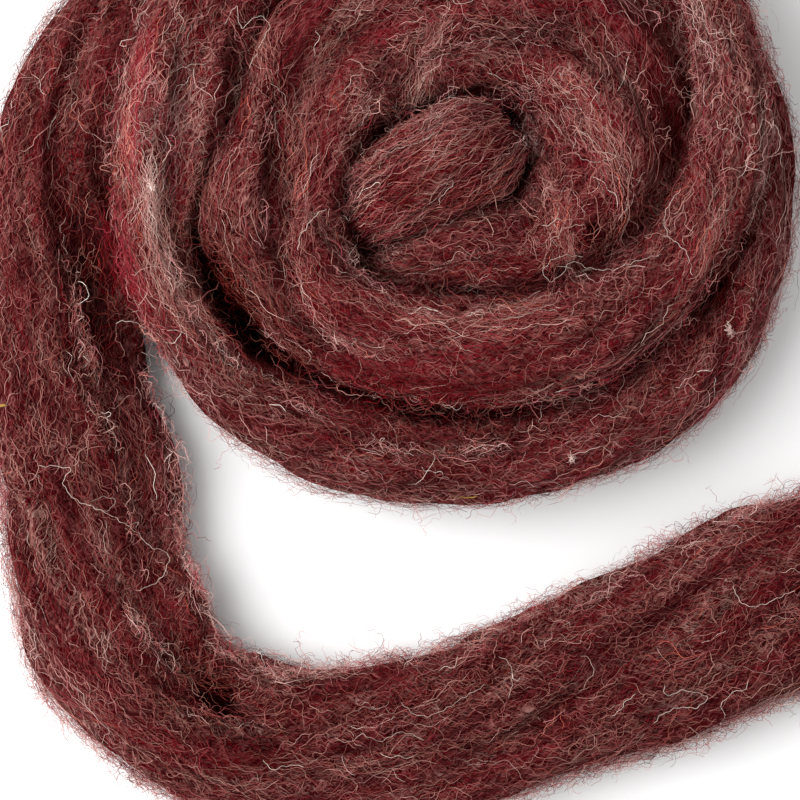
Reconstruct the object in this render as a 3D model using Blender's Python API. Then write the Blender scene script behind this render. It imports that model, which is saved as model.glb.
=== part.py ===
"""A length of wool roving, wound into a flat nest, with its loose end led away.

The roving is one soft strand of carded wool. Its inner end lies folded in the middle of the
nest, and the strand winds outwards round it, counter-clockwise as seen from above, one turn
pressed against the next. The outermost turn leaves the nest on its left side and lies free on
the same surface, round a corner and away to the right.

Frame: +Z up, +Y away from the loose end, the origin on the surface under the middle of the
nest. The tables are in millimetres, and the solids in metres.
"""

import math
from collections import namedtuple

import bmesh
import bpy
import numpy as np

MM = 0.001

# How the strand's section is drawn.
SIDES = 28
RING_STEP = 4.0
FULLNESS = 2.3  # the superellipse's power: 2 is an ellipse, and more fills its corners
SINK = 1.6  # how far a section is set into the surface, which flattens its underside
GROOVE_SPREAD = 0.25  # of the half width, on either side of the furrow

# The soft ridges along the strand: how many stand round a section, how far each swells it as a
# share of its size, and how they drift round it as the strand twists one way and the other.
Ridge = namedtuple("Ridge", "count swell drift")
Twist = namedtuple("Twist", "angle per_radian start")
RIDGES = (
    Ridge(3, 0.035, 1.0),
    Ridge(5, 0.025, -1.7),
)
TWISTS = (
    Twist(1.4, 57.0, 0.0),
    Twist(0.8, 23.0, 1.0),
)

# How the turns are fused into one wound form.
FUSE_VOXEL = 1.8
SOFTENING = 3
EVENING = 1
NEST_TRIANGLE_SHARE = 0.18
BED_RADIUS = 62.0
BED_TOP = 13.0
BED_SIDES = 48

# Where the nest ends and the loose end starts.
SEAT_GAP = 0.3
STUB = 2.0  # how far the nest's own end would reach past the parting, uncut
STUB_SHRINK = 2.0  # how much narrower that end is, so that the cut leaves no rim

FLOOR_WIDTH = 320.0
FLOOR_DEPTH = 20.0

WOOL_COLOUR = (0.105, 0.024, 0.023)

# Lift is how far the strand's underside is held up. Furrow is where a section's groove lies
# across it, from -1 at its right edge to 1 at its left, looking outwards along the strand.
Section = namedtuple("Section", "x y width height lift groove furrow")
Turn = namedtuple("Turn", "bearing radius width height lift groove furrow")

# The inner end in the middle of the nest, and the fold where it turns under itself.
HEART = (
    Section(12.0, 8.0, 14, 17, 10, 0, 0),
    Section(6.5, 4.5, 23, 24, 9, 0, 0),
    Section(-2.5, -0.8, 25, 26, 9, 1, 0.3),
    Section(-12.0, -6.0, 23, 26, 8, 1, 0.3),
    Section(-20.0, -10.5, 18, 24, 5, 0, 0),
    Section(-25.0, -15.0, 10, 10, 3, 0, 0),
    Section(-21.0, -19.0, 8, 9, 3, 0, 0),
    Section(-14.5, -20.5, 12, 21, 2, 0, 0),
    Section(-7.5, -20.0, 16, 26, 1, 0, 0),
)

# The wound turns by their bearing from the middle of the nest in degrees, counter-clockwise
# from the right, outwards from the front of the heart.
TURNS = (
    Turn(270, 18, 19, 29, 1, 0, 0),
    Turn(315, 25.5, 26, 28, 1, 3, -0.58),
    Turn(360, 34.75, 33.5, 30, 1, 4, -0.85),
    Turn(405, 38.25, 38.5, 30, 1, 5, 0.01),
    Turn(450, 31.95, 31.5, 31, 1, 2, 0.7),
    Turn(495, 35, 37, 31, 1, 5, -0.03),
    Turn(540, 37.25, 30.5, 32, 0, 7, -0.07),
    Turn(555, 41.6, 33.2, 32, 0, 7, 0.16),
    Turn(572, 41.9, 27.8, 32, 0, 7, -0.15),
    Turn(585, 42.5, 25, 32, 0, 6, -0.34),
    Turn(600, 41.85, 23.7, 32, 0, 5, -0.5),
    Turn(630, 40.5, 25.6, 32, 1, 2, -0.69),
    Turn(675, 48, 22, 31, 3, 1, 0),
    Turn(720, 58.8, 17.6, 28, 7, 1, 0),
    Turn(765, 68.5, 13, 27, 8, 1, 0),
    Turn(810, 59.5, 25, 29, 2, 1, 0),
    Turn(855, 65, 26, 29, 0, 2, 0.19),
    Turn(900, 63.9, 24.6, 30, 0, 5, 0.25),
    Turn(915, 68.0, 16.8, 29, 0, 3, 0.5),
    Turn(932, 68.6, 16.2, 28, 0, 3, 0.5),
    Turn(945, 69, 16.4, 28, 0, 3, 0.53),
    Turn(960, 66.9, 21, 27, 0, 3, 0.48),
    Turn(990, 65.65, 17.7, 25, 0, 3, 0.43),
    Turn(1035, 68.5, 21, 25, 0, 2, 0.3),
    Turn(1080, 65, 23, 22, 0, 1, 0),
    Turn(1125, 63.5, 24, 24, 0, 1, 0),
    Turn(1170, 76.5, 23, 24, 0, 1, 0),
    Turn(1215, 80.35, 14.7, 23, 0, 1, 0),
    Turn(1260, 89, 31, 21, 0, 3, 0.19),
)

# The loose end. Its first row is where it parts from the nest's side.
LOOSE_END = (
    Section(-89.0, -25.5, 34, 20, 0, 5, 0.5),
    Section(-88.0, -47.0, 35, 19, 0, 4, 0.6),
    Section(-83.0, -68.0, 39, 19, 0, 4, 0.62),
    Section(-81.0, -88.0, 39, 19, 0, 4, 0.65),
    Section(-75.0, -105.2, 41, 19, 0, 4, 0.5),
    Section(-65.5, -118.0, 35, 19, 0, 6, 0.45),
    Section(-50.0, -126.5, 36, 19, 0, 5, 0.35),
    Section(-33.0, -129.0, 36, 18, 0, 3, -0.1),
    Section(-11.0, -128.0, 36, 18, 0, 3, -0.3),
    Section(11.0, -122.5, 37, 18, 0, 3, -0.3),
    Section(33.5, -113.5, 39, 18, 0, 2, 0),
    Section(55.5, -104.3, 42, 18, 0, 2, 0.3),
    Section(76.0, -95.6, 42, 17, 0, 3, 0.2),
    Section(91.0, -89.4, 35, 15, 0, 2, 0),
    Section(103.0, -85.0, 22, 11, 0, 1, 0),
    Section(109.0, -83.5, 10, 7, 0, 0, 0),
)


def clear_scene():
    """Removes every object, so that the script gives the same scene wherever it is run."""
    for thing in list(bpy.data.objects):
        bpy.data.objects.remove(thing)


def wool(name, colour):
    """A matt wool material of that colour."""
    material = bpy.data.materials.new(name)
    material.use_nodes = True
    shader = material.node_tree.nodes["Principled BSDF"]
    shader.inputs["Base Color"].default_value = (*colour, 1.0)
    shader.inputs["Roughness"].default_value = 0.95
    shader.inputs["Metallic"].default_value = 0.0
    return material


def turn_sections():
    """The wound turns as sections, each placed by its bearing from the middle of the nest."""
    for turn in TURNS:
        bearing = math.radians(turn.bearing)
        x, y = turn.radius * math.cos(bearing), turn.radius * math.sin(bearing)
        yield Section(x, y, *turn[2:])


def smooth_rows(rows, step):
    """Rows about step apart on a smooth line through rows, and how far along it each lies.

    The third value is how far along each of the given rows lies.
    """
    rows = np.array(rows, float)
    chords = np.hypot(*np.diff(rows[:, :2], axis=0).T)
    at = np.concatenate([[0.0], np.cumsum(chords)])
    slopes = np.gradient(rows, at, axis=0)
    fine = np.linspace(0.0, at[-1], 40 * len(rows))
    span = np.clip(np.searchsorted(at, fine, side="right") - 1, 0, len(rows) - 2)
    long = (at[span + 1] - at[span])[:, None]
    t = (fine[:, None] - at[span][:, None]) / long
    start, end = rows[span], rows[span + 1]
    leaving, arriving = slopes[span] * long, slopes[span + 1] * long
    curve = (
        start * (2 * t**3 - 3 * t**2 + 1)
        + leaving * (t**3 - 2 * t**2 + t)
        + end * (3 * t**2 - 2 * t**3)
        + arriving * (t**3 - t**2)
    )
    travelled = np.concatenate([[0.0], np.cumsum(np.hypot(*np.diff(curve[:, :2], axis=0).T))])
    count = max(2, round(travelled[-1] / step) + 1)
    even = np.linspace(0.0, travelled[-1], count)
    columns = [np.interp(even, travelled, column) for column in curve.T]
    return np.stack(columns, axis=1), even, np.interp(at, fine, travelled)


def swell_at(around, along):
    """How much the ridges swell a section at an angle round it, that far along the strand."""
    twist = sum(t.angle * math.sin(along / t.per_radian + t.start) for t in TWISTS)
    return 1 + sum(r.swell * math.cos(r.count * around + r.drift * twist) for r in RIDGES)


def ring(row, heading, along, grow=0.0):
    """The points round one section, in millimetres, swollen all round by grow."""
    section = Section(*row)
    side = (-heading[1], heading[0])
    half_width, half_height = section.width / 2 + grow, (section.height + SINK) / 2 + grow
    middle = section.lift - SINK + (section.height + SINK) / 2
    points = []
    for count in range(SIDES):
        around = 2 * math.pi * count / SIDES
        across, rise = math.cos(around), math.sin(around)
        across = math.copysign(abs(across) ** (2 / FULLNESS), across)
        rise = math.copysign(abs(rise) ** (2 / FULLNESS), rise)
        swell = swell_at(around, along)
        dip = 0.0
        if rise > 0:
            dip = section.groove * math.exp(-(((across - section.furrow) / GROOVE_SPREAD) ** 2))
        across *= swell * half_width
        rise = swell * half_height * rise - dip
        points.append(
            (section.x + side[0] * across, section.y + side[1] * across, middle + rise)
        )
    return points


def rings_of(rows, along, grow=0.0):
    """The rings of a stretch of the strand."""
    headings = np.gradient(rows[:, :2], along, axis=0)
    headings /= np.linalg.norm(headings, axis=1)[:, None]
    return [ring(r, h, s, grow) for r, h, s in zip(rows, headings, along)]


def add_loft(mesh, rings):
    """Skins the rings in order and closes both ends."""
    loops = [[mesh.verts.new([MM * v for v in point]) for point in points] for points in rings]
    for first, second in zip(loops, loops[1:]):
        for count in range(SIDES):
            following = (count + 1) % SIDES
            mesh.faces.new((first[count], first[following], second[following], second[count]))
    mesh.faces.new(reversed(loops[0]))
    mesh.faces.new(loops[-1])


def add_object(name, mesh, material):
    """Makes an object of a bmesh, its faces pointing out."""
    bmesh.ops.recalc_face_normals(mesh, faces=mesh.faces)
    data = bpy.data.meshes.new(name)
    mesh.to_mesh(data)
    mesh.free()
    data.materials.append(material)
    thing = bpy.data.objects.new(name, data)
    bpy.context.scene.collection.objects.link(thing)
    return thing


def cutter(thing):
    """Hides an object that only cuts others."""
    thing.hide_render = True
    thing.display_type = "WIRE"
    return thing


def cut(thing, tool):
    """Cuts tool's shape out of thing."""
    boolean = thing.modifiers.new(f"cut by {tool.name}", "BOOLEAN")
    boolean.operation = "DIFFERENCE"
    boolean.solver = "EXACT"
    boolean.object = tool


def loose_end(rows, along, material):
    """The free strand, flat underneath where it lies on the surface."""
    rings = [[(x, y, max(z, 0.0)) for x, y, z in points] for points in rings_of(rows, along)]
    mesh = bmesh.new()
    add_loft(mesh, rings)
    tail = add_object("tail", mesh, material)
    tail.data.shade_smooth()
    return tail


def loose_end_room(rows, along, material):
    """The room that the nest leaves for the loose end, a seat gap wider all round."""
    rings = rings_of(rows, along, SEAT_GAP)
    back = np.array(rings[0]).mean(axis=0) - np.array(rings[1]).mean(axis=0)
    back *= SEAT_GAP / np.linalg.norm(back)
    rings[0] = [tuple(np.array(point) + back) for point in rings[0]]
    mesh = bmesh.new()
    add_loft(mesh, rings)
    return cutter(add_object("tail_room", mesh, material))


def floor_block(material):
    """Everything under the surface that the nest stands on."""
    mesh = bmesh.new()
    bmesh.ops.create_cube(mesh, size=1.0)
    wide, deep = FLOOR_WIDTH * MM, FLOOR_DEPTH * MM
    bmesh.ops.scale(mesh, vec=(wide, wide, deep), verts=mesh.verts)
    bmesh.ops.translate(mesh, vec=(0, 0, -deep / 2), verts=mesh.verts)
    return cutter(add_object("floor_block", mesh, material))


def nest(rows, along, material):
    """The wound turns, fused into one form on a bed that fills the gaps under them."""
    mesh = bmesh.new()
    add_loft(mesh, rings_of(rows, along))
    bed = bmesh.ops.create_cone(
        mesh,
        cap_ends=True,
        segments=BED_SIDES,
        radius1=BED_RADIUS * MM,
        radius2=BED_RADIUS * MM,
        depth=(BED_TOP + SINK) * MM,
    )
    bmesh.ops.translate(mesh, vec=(0, 0, (BED_TOP - SINK) / 2 * MM), verts=bed["verts"])
    wound = add_object("nest", mesh, material)
    fuse = wound.modifiers.new("fuse the turns", "REMESH")
    fuse.mode = "VOXEL"
    fuse.voxel_size = FUSE_VOXEL * MM
    fuse.use_smooth_shade = True
    soften = wound.modifiers.new("soften the creases", "SMOOTH")
    soften.factor = 0.5
    soften.iterations = SOFTENING
    thin = wound.modifiers.new("fewer faces", "DECIMATE")
    thin.ratio = NEST_TRIANGLE_SHARE
    even = wound.modifiers.new("even out the faces", "SMOOTH")
    even.factor = 0.4
    even.iterations = EVENING
    return wound


def with_stub(rows, along):
    """The wound stretch of the strand, run on a little past the parting, where it narrows."""
    heading = rows[-1, :2] - rows[-2, :2]
    stub = rows[-1].copy()
    stub[:2] += STUB * heading / np.linalg.norm(heading)
    longer = np.vstack([rows, stub])
    longer[-2:, 2:4] -= STUB_SHRINK
    return longer, np.append(along, along[-1] + STUB)


def main():
    clear_scene()
    material = wool("heather_red_wool", WOOL_COLOUR)
    rows, along, given = smooth_rows([*HEART, *turn_sections(), *LOOSE_END], RING_STEP)
    parting = int(np.searchsorted(along, given[len(HEART) + len(TURNS)]))
    loose = rows[parting:], along[parting:]

    wound = nest(*with_stub(rows[: parting + 1], along[: parting + 1]), material)
    cut(wound, floor_block(material))
    cut(wound, loose_end_room(*loose, material))
    loose_end(*loose, material)


main()
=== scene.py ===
"""The looks of a nest of wool roving: its matted surface, its loose fibres, its floor and its light.

The roving is one strand, so one class holds its surface, and every fibre grows on that surface.
Tables are in millimetres, as a maker would measure them, and everything else is in metres.
"""

import logging
import math
from collections.abc import Iterator
from dataclasses import astuple, dataclass, field
from enum import Enum
from typing import ClassVar

import bpy
import numpy as np
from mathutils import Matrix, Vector
from mathutils.bvhtree import BVHTree

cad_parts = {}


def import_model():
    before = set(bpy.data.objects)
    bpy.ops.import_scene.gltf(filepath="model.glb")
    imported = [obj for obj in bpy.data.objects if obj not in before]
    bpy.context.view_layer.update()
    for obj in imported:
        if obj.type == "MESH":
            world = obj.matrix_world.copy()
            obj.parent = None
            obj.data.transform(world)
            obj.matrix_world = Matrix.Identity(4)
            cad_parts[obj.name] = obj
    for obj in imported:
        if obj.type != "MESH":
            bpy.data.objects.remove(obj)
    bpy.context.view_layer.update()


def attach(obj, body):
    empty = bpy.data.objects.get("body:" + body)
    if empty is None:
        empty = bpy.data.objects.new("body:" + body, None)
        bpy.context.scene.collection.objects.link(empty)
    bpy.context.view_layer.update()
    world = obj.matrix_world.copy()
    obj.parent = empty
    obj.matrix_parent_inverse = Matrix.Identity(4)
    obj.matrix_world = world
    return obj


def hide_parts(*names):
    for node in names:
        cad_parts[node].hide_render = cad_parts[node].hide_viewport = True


LOG = logging.getLogger("roving")
MM = 0.001
BODY = "root"
# The meshes' maps and attributes.
STRAND_MAP = "strand"
BAKE_MAP = "OFBake"
# The body's paleness, redness and darkness, which carry painted light at the rims and painted shade and
# light from the patches.
HEATHER_AND_LIGHT = "heather"
SHADE = "shade"
UP = np.array([0.0, 0.0, 1.0])
# The least length that a direction is divided by, and the least area.
TINY = 1e-12
TINY_AREA = 1e-15
# A grid is read between its points as far as its count of them less this.
GRID_END = 1.001
# How near the floor the middle of a fibre may come, and its edges.
LOWEST_FIBRE = 0.15 * MM
LOWEST_EDGE = 0.05 * MM

# What a socket takes: another one's output, or a plain value.
Value = bpy.types.NodeSocket | float | tuple[float, ...]


@dataclass(frozen=True)
class Section:
    """One row of the strand's table, in millimetres.

    Lift is how far its underside is held up. Groove is the depth of a furrow along its top, and
    furrow is where that lies across it, from -1 at the right edge to 1 at the left.
    """

    x: float
    y: float
    width: float
    height: float
    lift: float
    groove: float
    furrow: float


@dataclass(frozen=True)
class Turn:
    """A section placed by its bearing and distance from the middle of the nest."""

    bearing: float
    radius: float
    width: float
    height: float
    lift: float
    groove: float
    furrow: float

    def section(self) -> Section:
        """The turn's section.

        Returns:
            The section at its place.
        """
        bearing = math.radians(self.bearing)
        x, y = self.radius * math.cos(bearing), self.radius * math.sin(bearing)
        return Section(x, y, self.width, self.height, self.lift, self.groove, self.furrow)


# The inner end in the middle of the nest, and the fold where it turns under itself.
HEART = (
    Section(12.0, 8.0, 14, 17, 10, 0, 0),
    Section(6.5, 4.5, 23, 24, 9, 0, 0),
    Section(-2.5, -0.8, 25, 26, 9, 1, 0.3),
    Section(-12.0, -6.0, 23, 26, 8, 1, 0.3),
    Section(-20.0, -10.5, 18, 24, 5, 0, 0),
    Section(-25.0, -15.0, 10, 10, 3, 0, 0),
    Section(-21.0, -19.0, 8, 9, 3, 0, 0),
    Section(-14.5, -20.5, 12, 21, 2, 0, 0),
    Section(-7.5, -20.0, 16, 26, 1, 0, 0),
)

# The wound turns by their bearing from the middle of the nest in degrees, counter-clockwise
# from the right, outwards from the front of the heart.
TURNS = (
    Turn(270, 18, 19, 29, 1, 0, 0),
    Turn(315, 25.5, 26, 28, 1, 3, -0.58),
    Turn(360, 34.75, 33.5, 30, 1, 4, -0.85),
    Turn(405, 38.25, 38.5, 30, 1, 5, 0.01),
    Turn(450, 31.95, 31.5, 31, 1, 2, 0.7),
    Turn(495, 35, 37, 31, 1, 5, -0.03),
    Turn(540, 37.25, 30.5, 32, 0, 7, -0.07),
    Turn(555, 41.6, 33.2, 32, 0, 7, 0.16),
    Turn(572, 41.9, 27.8, 32, 0, 7, -0.15),
    Turn(585, 42.5, 25, 32, 0, 6, -0.34),
    Turn(600, 41.85, 23.7, 32, 0, 5, -0.5),
    Turn(630, 40.5, 25.6, 32, 1, 2, -0.69),
    Turn(675, 48, 22, 31, 3, 1, 0),
    Turn(720, 58.8, 17.6, 28, 7, 1, 0),
    Turn(765, 68.5, 13, 27, 8, 1, 0),
    Turn(810, 59.5, 25, 29, 2, 1, 0),
    Turn(855, 65, 26, 29, 0, 2, 0.19),
    Turn(900, 63.9, 24.6, 30, 0, 5, 0.25),
    Turn(915, 68.0, 16.8, 29, 0, 3, 0.5),
    Turn(932, 68.6, 16.2, 28, 0, 3, 0.5),
    Turn(945, 69, 16.4, 28, 0, 3, 0.53),
    Turn(960, 66.9, 21, 27, 0, 3, 0.48),
    Turn(990, 65.65, 17.7, 25, 0, 3, 0.43),
    Turn(1035, 68.5, 21, 25, 0, 2, 0.3),
    Turn(1080, 65, 23, 22, 0, 1, 0),
    Turn(1125, 63.5, 24, 24, 0, 1, 0),
    Turn(1170, 76.5, 23, 24, 0, 1, 0),
    Turn(1215, 80.35, 14.7, 23, 0, 1, 0),
    Turn(1260, 89, 31, 21, 0, 3, 0.19),
)

# The loose end. Its first row is where it parts from the nest's side.
LOOSE_END = (
    Section(-89.0, -25.5, 34, 20, 0, 5, 0.5),
    Section(-88.0, -47.0, 35, 19, 0, 4, 0.6),
    Section(-83.0, -68.0, 39, 19, 0, 4, 0.62),
    Section(-81.0, -88.0, 39, 19, 0, 4, 0.65),
    Section(-75.0, -105.2, 41, 19, 0, 4, 0.5),
    Section(-65.5, -118.0, 35, 19, 0, 6, 0.45),
    Section(-50.0, -126.5, 36, 19, 0, 5, 0.35),
    Section(-33.0, -129.0, 36, 18, 0, 3, -0.1),
    Section(-11.0, -128.0, 36, 18, 0, 3, -0.3),
    Section(11.0, -122.5, 37, 18, 0, 3, -0.3),
    Section(33.5, -113.5, 39, 18, 0, 2, 0),
    Section(55.5, -104.3, 42, 18, 0, 2, 0.3),
    Section(76.0, -95.6, 42, 17, 0, 3, 0.2),
    Section(91.0, -89.4, 35, 15, 0, 2, 0),
    Section(103.0, -85.0, 22, 11, 0, 1, 0),
    Section(109.0, -83.5, 10, 7, 0, 0, 0),
)


def linear(red: int, green: int, blue: int) -> tuple[float, float, float]:
    """A colour given as on a screen, from 0 to 255, as light.

    Args:
        red: Red.
        green: Green.
        blue: Blue.

    Returns:
        The three as shares of full light.
    """
    shares = (value / 255 for value in (red, green, blue))
    return tuple(v / 12.92 if v <= 0.04045 else ((v + 0.055) / 1.055) ** 2.4 for v in shares)


class Shade(Enum):
    """The dyed and undyed wools that the heather is carded from, and the straw caught in them."""

    BLACKCURRANT = linear(46, 7, 11)
    OXBLOOD = linear(84, 13, 20)
    MADDER = linear(115, 24, 31)
    ROSE = linear(145, 78, 76)
    FAWN = linear(160, 110, 101)
    OATMEAL = linear(186, 146, 136)
    CREAM = linear(228, 206, 194)
    APRICOT = linear(184, 100, 84)
    STRAW = linear(168, 128, 72)

    def tone(self, strength: float) -> tuple[float, float, float, float]:
        """The shade for a socket, as many times its own brightness as strength says."""
        return (*(min(1.0, part * strength) for part in self.value), 1.0)


@dataclass(frozen=True)
class Share:
    """How common a wool is, and how much commoner where the heather is pale, and where it is red."""

    common: float
    with_pale: float
    with_red: float


HEATHER_MIX = {
    Shade.BLACKCURRANT: Share(0.17, -0.9, -0.4),
    Shade.OXBLOOD: Share(0.20, -0.9, 0.3),
    Shade.MADDER: Share(0.15, -0.5, 1.9),
    Shade.ROSE: Share(0.33, 0.6, 0.0),
    Shade.FAWN: Share(0.19, 1.0, -0.7),
    Shade.OATMEAL: Share(0.035, 1.7, -0.6),
    Shade.CREAM: Share(0.003, 1.6, -0.6),
    Shade.APRICOT: Share(0.012, 1.5, 1.5),
}


@dataclass(frozen=True)
class Patch:
    """A stretch of the surface where one wool shows more than the rest, or where light and shade are
    painted.

    Its middle and its reach are in millimetres, and slant is the way that it runs, in degrees. Pale
    and red are the wools' own, and dark is painted shade above 0 and painted light below it.
    """

    x: float
    y: float
    long: float
    wide: float
    slant: float
    pale: float
    red: float
    # Painted shade above 0, painted light below it.
    dark: float = 0.0

    def strength(self, points: np.ndarray) -> np.ndarray:
        """How much the patch is felt at each point.

        Args:
            points: Rows of x, y and z, in metres.

        Returns:
            A number from 0 to 1 for each row.
        """
        turn = math.radians(self.slant)
        dx, dy = points[..., 0] / MM - self.x, points[..., 1] / MM - self.y
        along = (dx * math.cos(turn) + dy * math.sin(turn)) / self.long
        across = (dy * math.cos(turn) - dx * math.sin(turn)) / self.wide
        return np.exp(-(along**2) - across**2)


# Darkness above 0 is painted shade: in the creases and hollows between the turns, in the gap at the left
# and the pocket of the loose end, on sides turned from the light, and over the loose end as a whole.
# Darkness below 0 is painted light on lit sides, tops and rims. Paleness and redness are the wools' own.
PATCHES = (
    Patch(-65.3, -14, 15, 3.0, 103, 1.1, -0.6, -0.3),
    Patch(-69.3, 13, 15, 3.2, 84, 0.4, 0.6, -0.4),
    Patch(-62, 12, 20, 8, 88, 0.8, 0, -0.7),
    Patch(-72, -20, 12, 3, 102, -0.3, 1.7, -0.5),
    Patch(-57, -26, 16, 5, 120, 0.5, -0.3),
    Patch(-48, -46, 15, 4, 130, 0.4, 0),
    Patch(59, 5, 24, 8, 95, 0.6, 0.2, -0.35),
    Patch(30, 5, 15, 5, 112, 0.6, 0, -0.2),
    Patch(47, 10, 14, 3.5, 105, -0.4, 0.8, 0.5),
    Patch(23, 23.5, 12, 2.6, 22, -0.3, 0.8, 0.4),
    Patch(-7.7, 14.3, 5, 2.5, 60, 0.8, 0, -0.3),
    Patch(-10, -48.5, 24, 3, -8, -0.5, 1.0, 0.3),
    Patch(20, 32, 40, 14, 0, 0.2, 0, -0.2),
    Patch(-81, -22, 30, 8, 97, 0, 0.1, 0.8),
    Patch(-82, -60, 40, 20, 80, 0, -0.5, 0.15),
    Patch(10, -118, 100, 20, 10, 0, -0.3, 0.15),
    Patch(-56, -114, 13, 8, -40, -0.1, -0.2, 0.6),
    Patch(-53, -119, 5, 3.5, -60, 0, 0, 1.0),
    Patch(29.7, -15.4, 2.6, 1.6, 110, 0, 0, 1.6),
    Patch(11, -34, 17, 4, 0, 0.8, 0),
    Patch(-6, 19, 8, 3, 80, 0.7, 0),
    Patch(-15, -21, 6, 3, 10, 0.8, 0),
    Patch(-20, 15, 10, 6, 60, 0.4, 0),
    Patch(-16, -112, 6, 3, 0, 0, 0.9),
    Patch(2, -40, 42, 11, 0, -0.1, 0.5),
    Patch(-66, 6, 32, 11, 95, 0, 0.6),
    Patch(-47, -22, 22, 6, 118, 0, -0.7, 0.3),
    Patch(-49.8, -26.5, 12, 3.4, 117, 0, -0.2, 1.1),
    Patch(-48.4, -33, 11, 3.4, 127, -0.3, -0.3, 1.3),
    Patch(68, -27, 18, 4.5, 68, 0.2, 0.5, -0.7),
    Patch(52, -55, 18, 4.5, 42, 0.2, 0.5, -0.7),
    Patch(22, -69, 22, 4.5, 15, 0.1, 0.4, -0.5),
    Patch(-88, -114, 20, 4.5, -58, 0.3, 0.3, -0.6),
    Patch(-55.5, -82, 24, 3.5, 102, 0.3, 0.3, -0.6),
    Patch(57.1, -26.9, 9, 2.5, 60, 0, 0, 1.2),
    Patch(63.3, -17, 4, 2, 65, 0, 0, 1.0),
)


@dataclass(frozen=True)
class Hair:
    """One long undyed hair or bit of straw: its width, and the x and y of each bend, in millimetres."""

    width: float
    line: tuple[float, ...]
    shade: Shade = Shade.CREAM


NEST_HAIRS = (
    Hair(0.10, (-50.3, 29.9, -47.7, 33.8, -46.6, 29.3, -42.5, 31.7, -40.5, 30.1, -42.5, 25.1, -44.9, 20.1)),
    Hair(0.09, (-62.0, 19.3, -58.6, 20.8, -54.0, 21.5)),
    Hair(0.08, (-40.1, 16.7, -37.3, 14.5, -36.8, 12.6, -39.2, 10.2, -38.8, 6.5, -38.1, 2.6)),
    Hair(0.11, (-16.4, -2.0, -16.2, 0.4, -14.5, 1.7, -9.1, 3.4, -6.0, 4.7, -4.1, 6.7)),
    Hair(0.12, (-34.0, -19.4, -33.8, -16.5, -32.5, -14.6, -30.3, -11.8, -28.2, -10.2)),
    Hair(0.07, (25.5, 2.6, 26.5, 6.5, 29.1, 4.7, 32.2, 1.5, 34.4, 0.8, 31.3, -0.3, 28.1, 0.0, 25.7, 2.1)),
    Hair(0.12, (18.5, -13.9, 19.8, -14.1, 21.3, -12.8, 23.1, -12.8, 25.0, -12.6)),
    Hair(
        0.09,
        (27.6, -20.7, 23.7, -20.4, 20.5, -21.7, 18.9, -23.9, 20.2, -25.9, 22.6, -24.8)
        + (25.2, -21.7, 28.7, -23.0, 33.5, -23.5, 38.3, -22.0, 43.7, -20.4),
    ),
    Hair(0.08, (48.7, -5.9, 46.1, -9.4, 44.8, -13.1, 45.6, -16.3, 48.2, -18.7, 50.0, -21.7, 50.6, -25.0)),
    Hair(0.08, (-1.2, 34.5, 0.5, 33.4, 2.2, 33.6, 4.4, 34.7, 6.6, 35.1)),
    Hair(0.09, (9.6, -34.3, 13.9, -33.7, 18.3, -32.2, 21.8, -32.6)),
    Hair(0.4, (-0.9, -73.0, 2.1, -73.2, 4.9, -72.9), Shade.STRAW),
)

TAIL_HAIRS = (
    Hair(
        0.13,
        (-75.3, -34.5, -72.2, -34.2, -69.4, -35.3, -67.4, -37.1, -66.3, -38.0)
        + (-64.1, -38.9, -61.8, -39.3, -60.5, -38.7, -59.6, -37.1),
    ),
    Hair(0.09, (-69.8, -41.1, -68.0, -42.0, -68.3, -44.2, -69.8, -45.5, -67.4, -45.1, -63.8, -44.6)),
    Hair(
        0.09,
        (-91.5, -66.3, -87.7, -66.3, -84.4, -67.2, -85.9, -68.5, -86.2, -70.1, -85.1, -72.0)
        + (-83.5, -73.6, -79.3, -75.4, -74.5, -78.0, -70.7, -80.9, -67.2, -84.4, -65.2, -85.1)
        + (-63.6, -86.2, -63.8, -88.6, -65.4, -91.5, -67.8, -93.0, -70.5, -93.9),
    ),
    Hair(0.08, (-80.2, -74.0, -77.3, -73.1, -74.9, -73.8, -75.8, -75.6, -78.4, -76.0, -80.2, -74.5)),
    Hair(
        0.13,
        (46.0, -114.5, 46.3, -116.3, 46.9, -116.9, 49.8, -115.8, 53.1, -116.3)
        + (55.8, -117.4, 53.8, -119.4, 48.9, -119.8, 45.4, -121.6, 44.1, -123.3),
    ),
    Hair(0.09, (-11.9, -118.5, -9.4, -120.7, -5.9, -121.3, -2.2, -119.8, 1.8, -117.4, 6.9, -114.5)),
    Hair(0.07, (-26.5, -126.2, -23.2, -127.1, -20.5, -125.3, -16.5, -126.9, -12.5, -124.9, -6.8, -126.4)),
    Hair(0.10, (-42.2, -131.1, -41.5, -132.4, -40.6, -133.1, -37.5, -132.6, -33.3, -132.6)),
    Hair(0.08, (9.8, -108.5, 12.0, -109.8, 12.7, -112.5, 12.4, -115.2, 11.8, -117.4)),
    Hair(0.10, (61.7, -92.8, 62.6, -95.3, 64.6, -97.2, 67.5, -97.2, 71.5, -95.5, 75.5, -93.9)),
    Hair(0.7, (-101.2, -52.9, -100.0, -53.0, -98.9, -52.8), Shade.STRAW),
)


@dataclass(frozen=True)
class Lock:
    """A lock of wool that lies along a line of its own.

    Its width is in millimetres, and so are the x and y of each bend of its line. Pale, red and
    dark are added to the heather's, as in a patch. A tuft's darkness is painted shade of the crease
    that it lies over, and a nep's is its own pale colour.
    """

    count: int
    wide: float
    pale: float
    red: float
    dark: float
    line: tuple[float, ...]


NEPS = (
    Lock(32, 0.6, 5, -1, -2.0, (59.6, -35.5, 60.2, -37.4)),
    Lock(24, 0.5, 5, -1, -2.0, (-66.2, -4.9, -65.4, -6.3)),
    Lock(14, 0.3, 4, -1, -1.0, (24.8, -64.2, 25.8, -65.0)),
)

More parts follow.
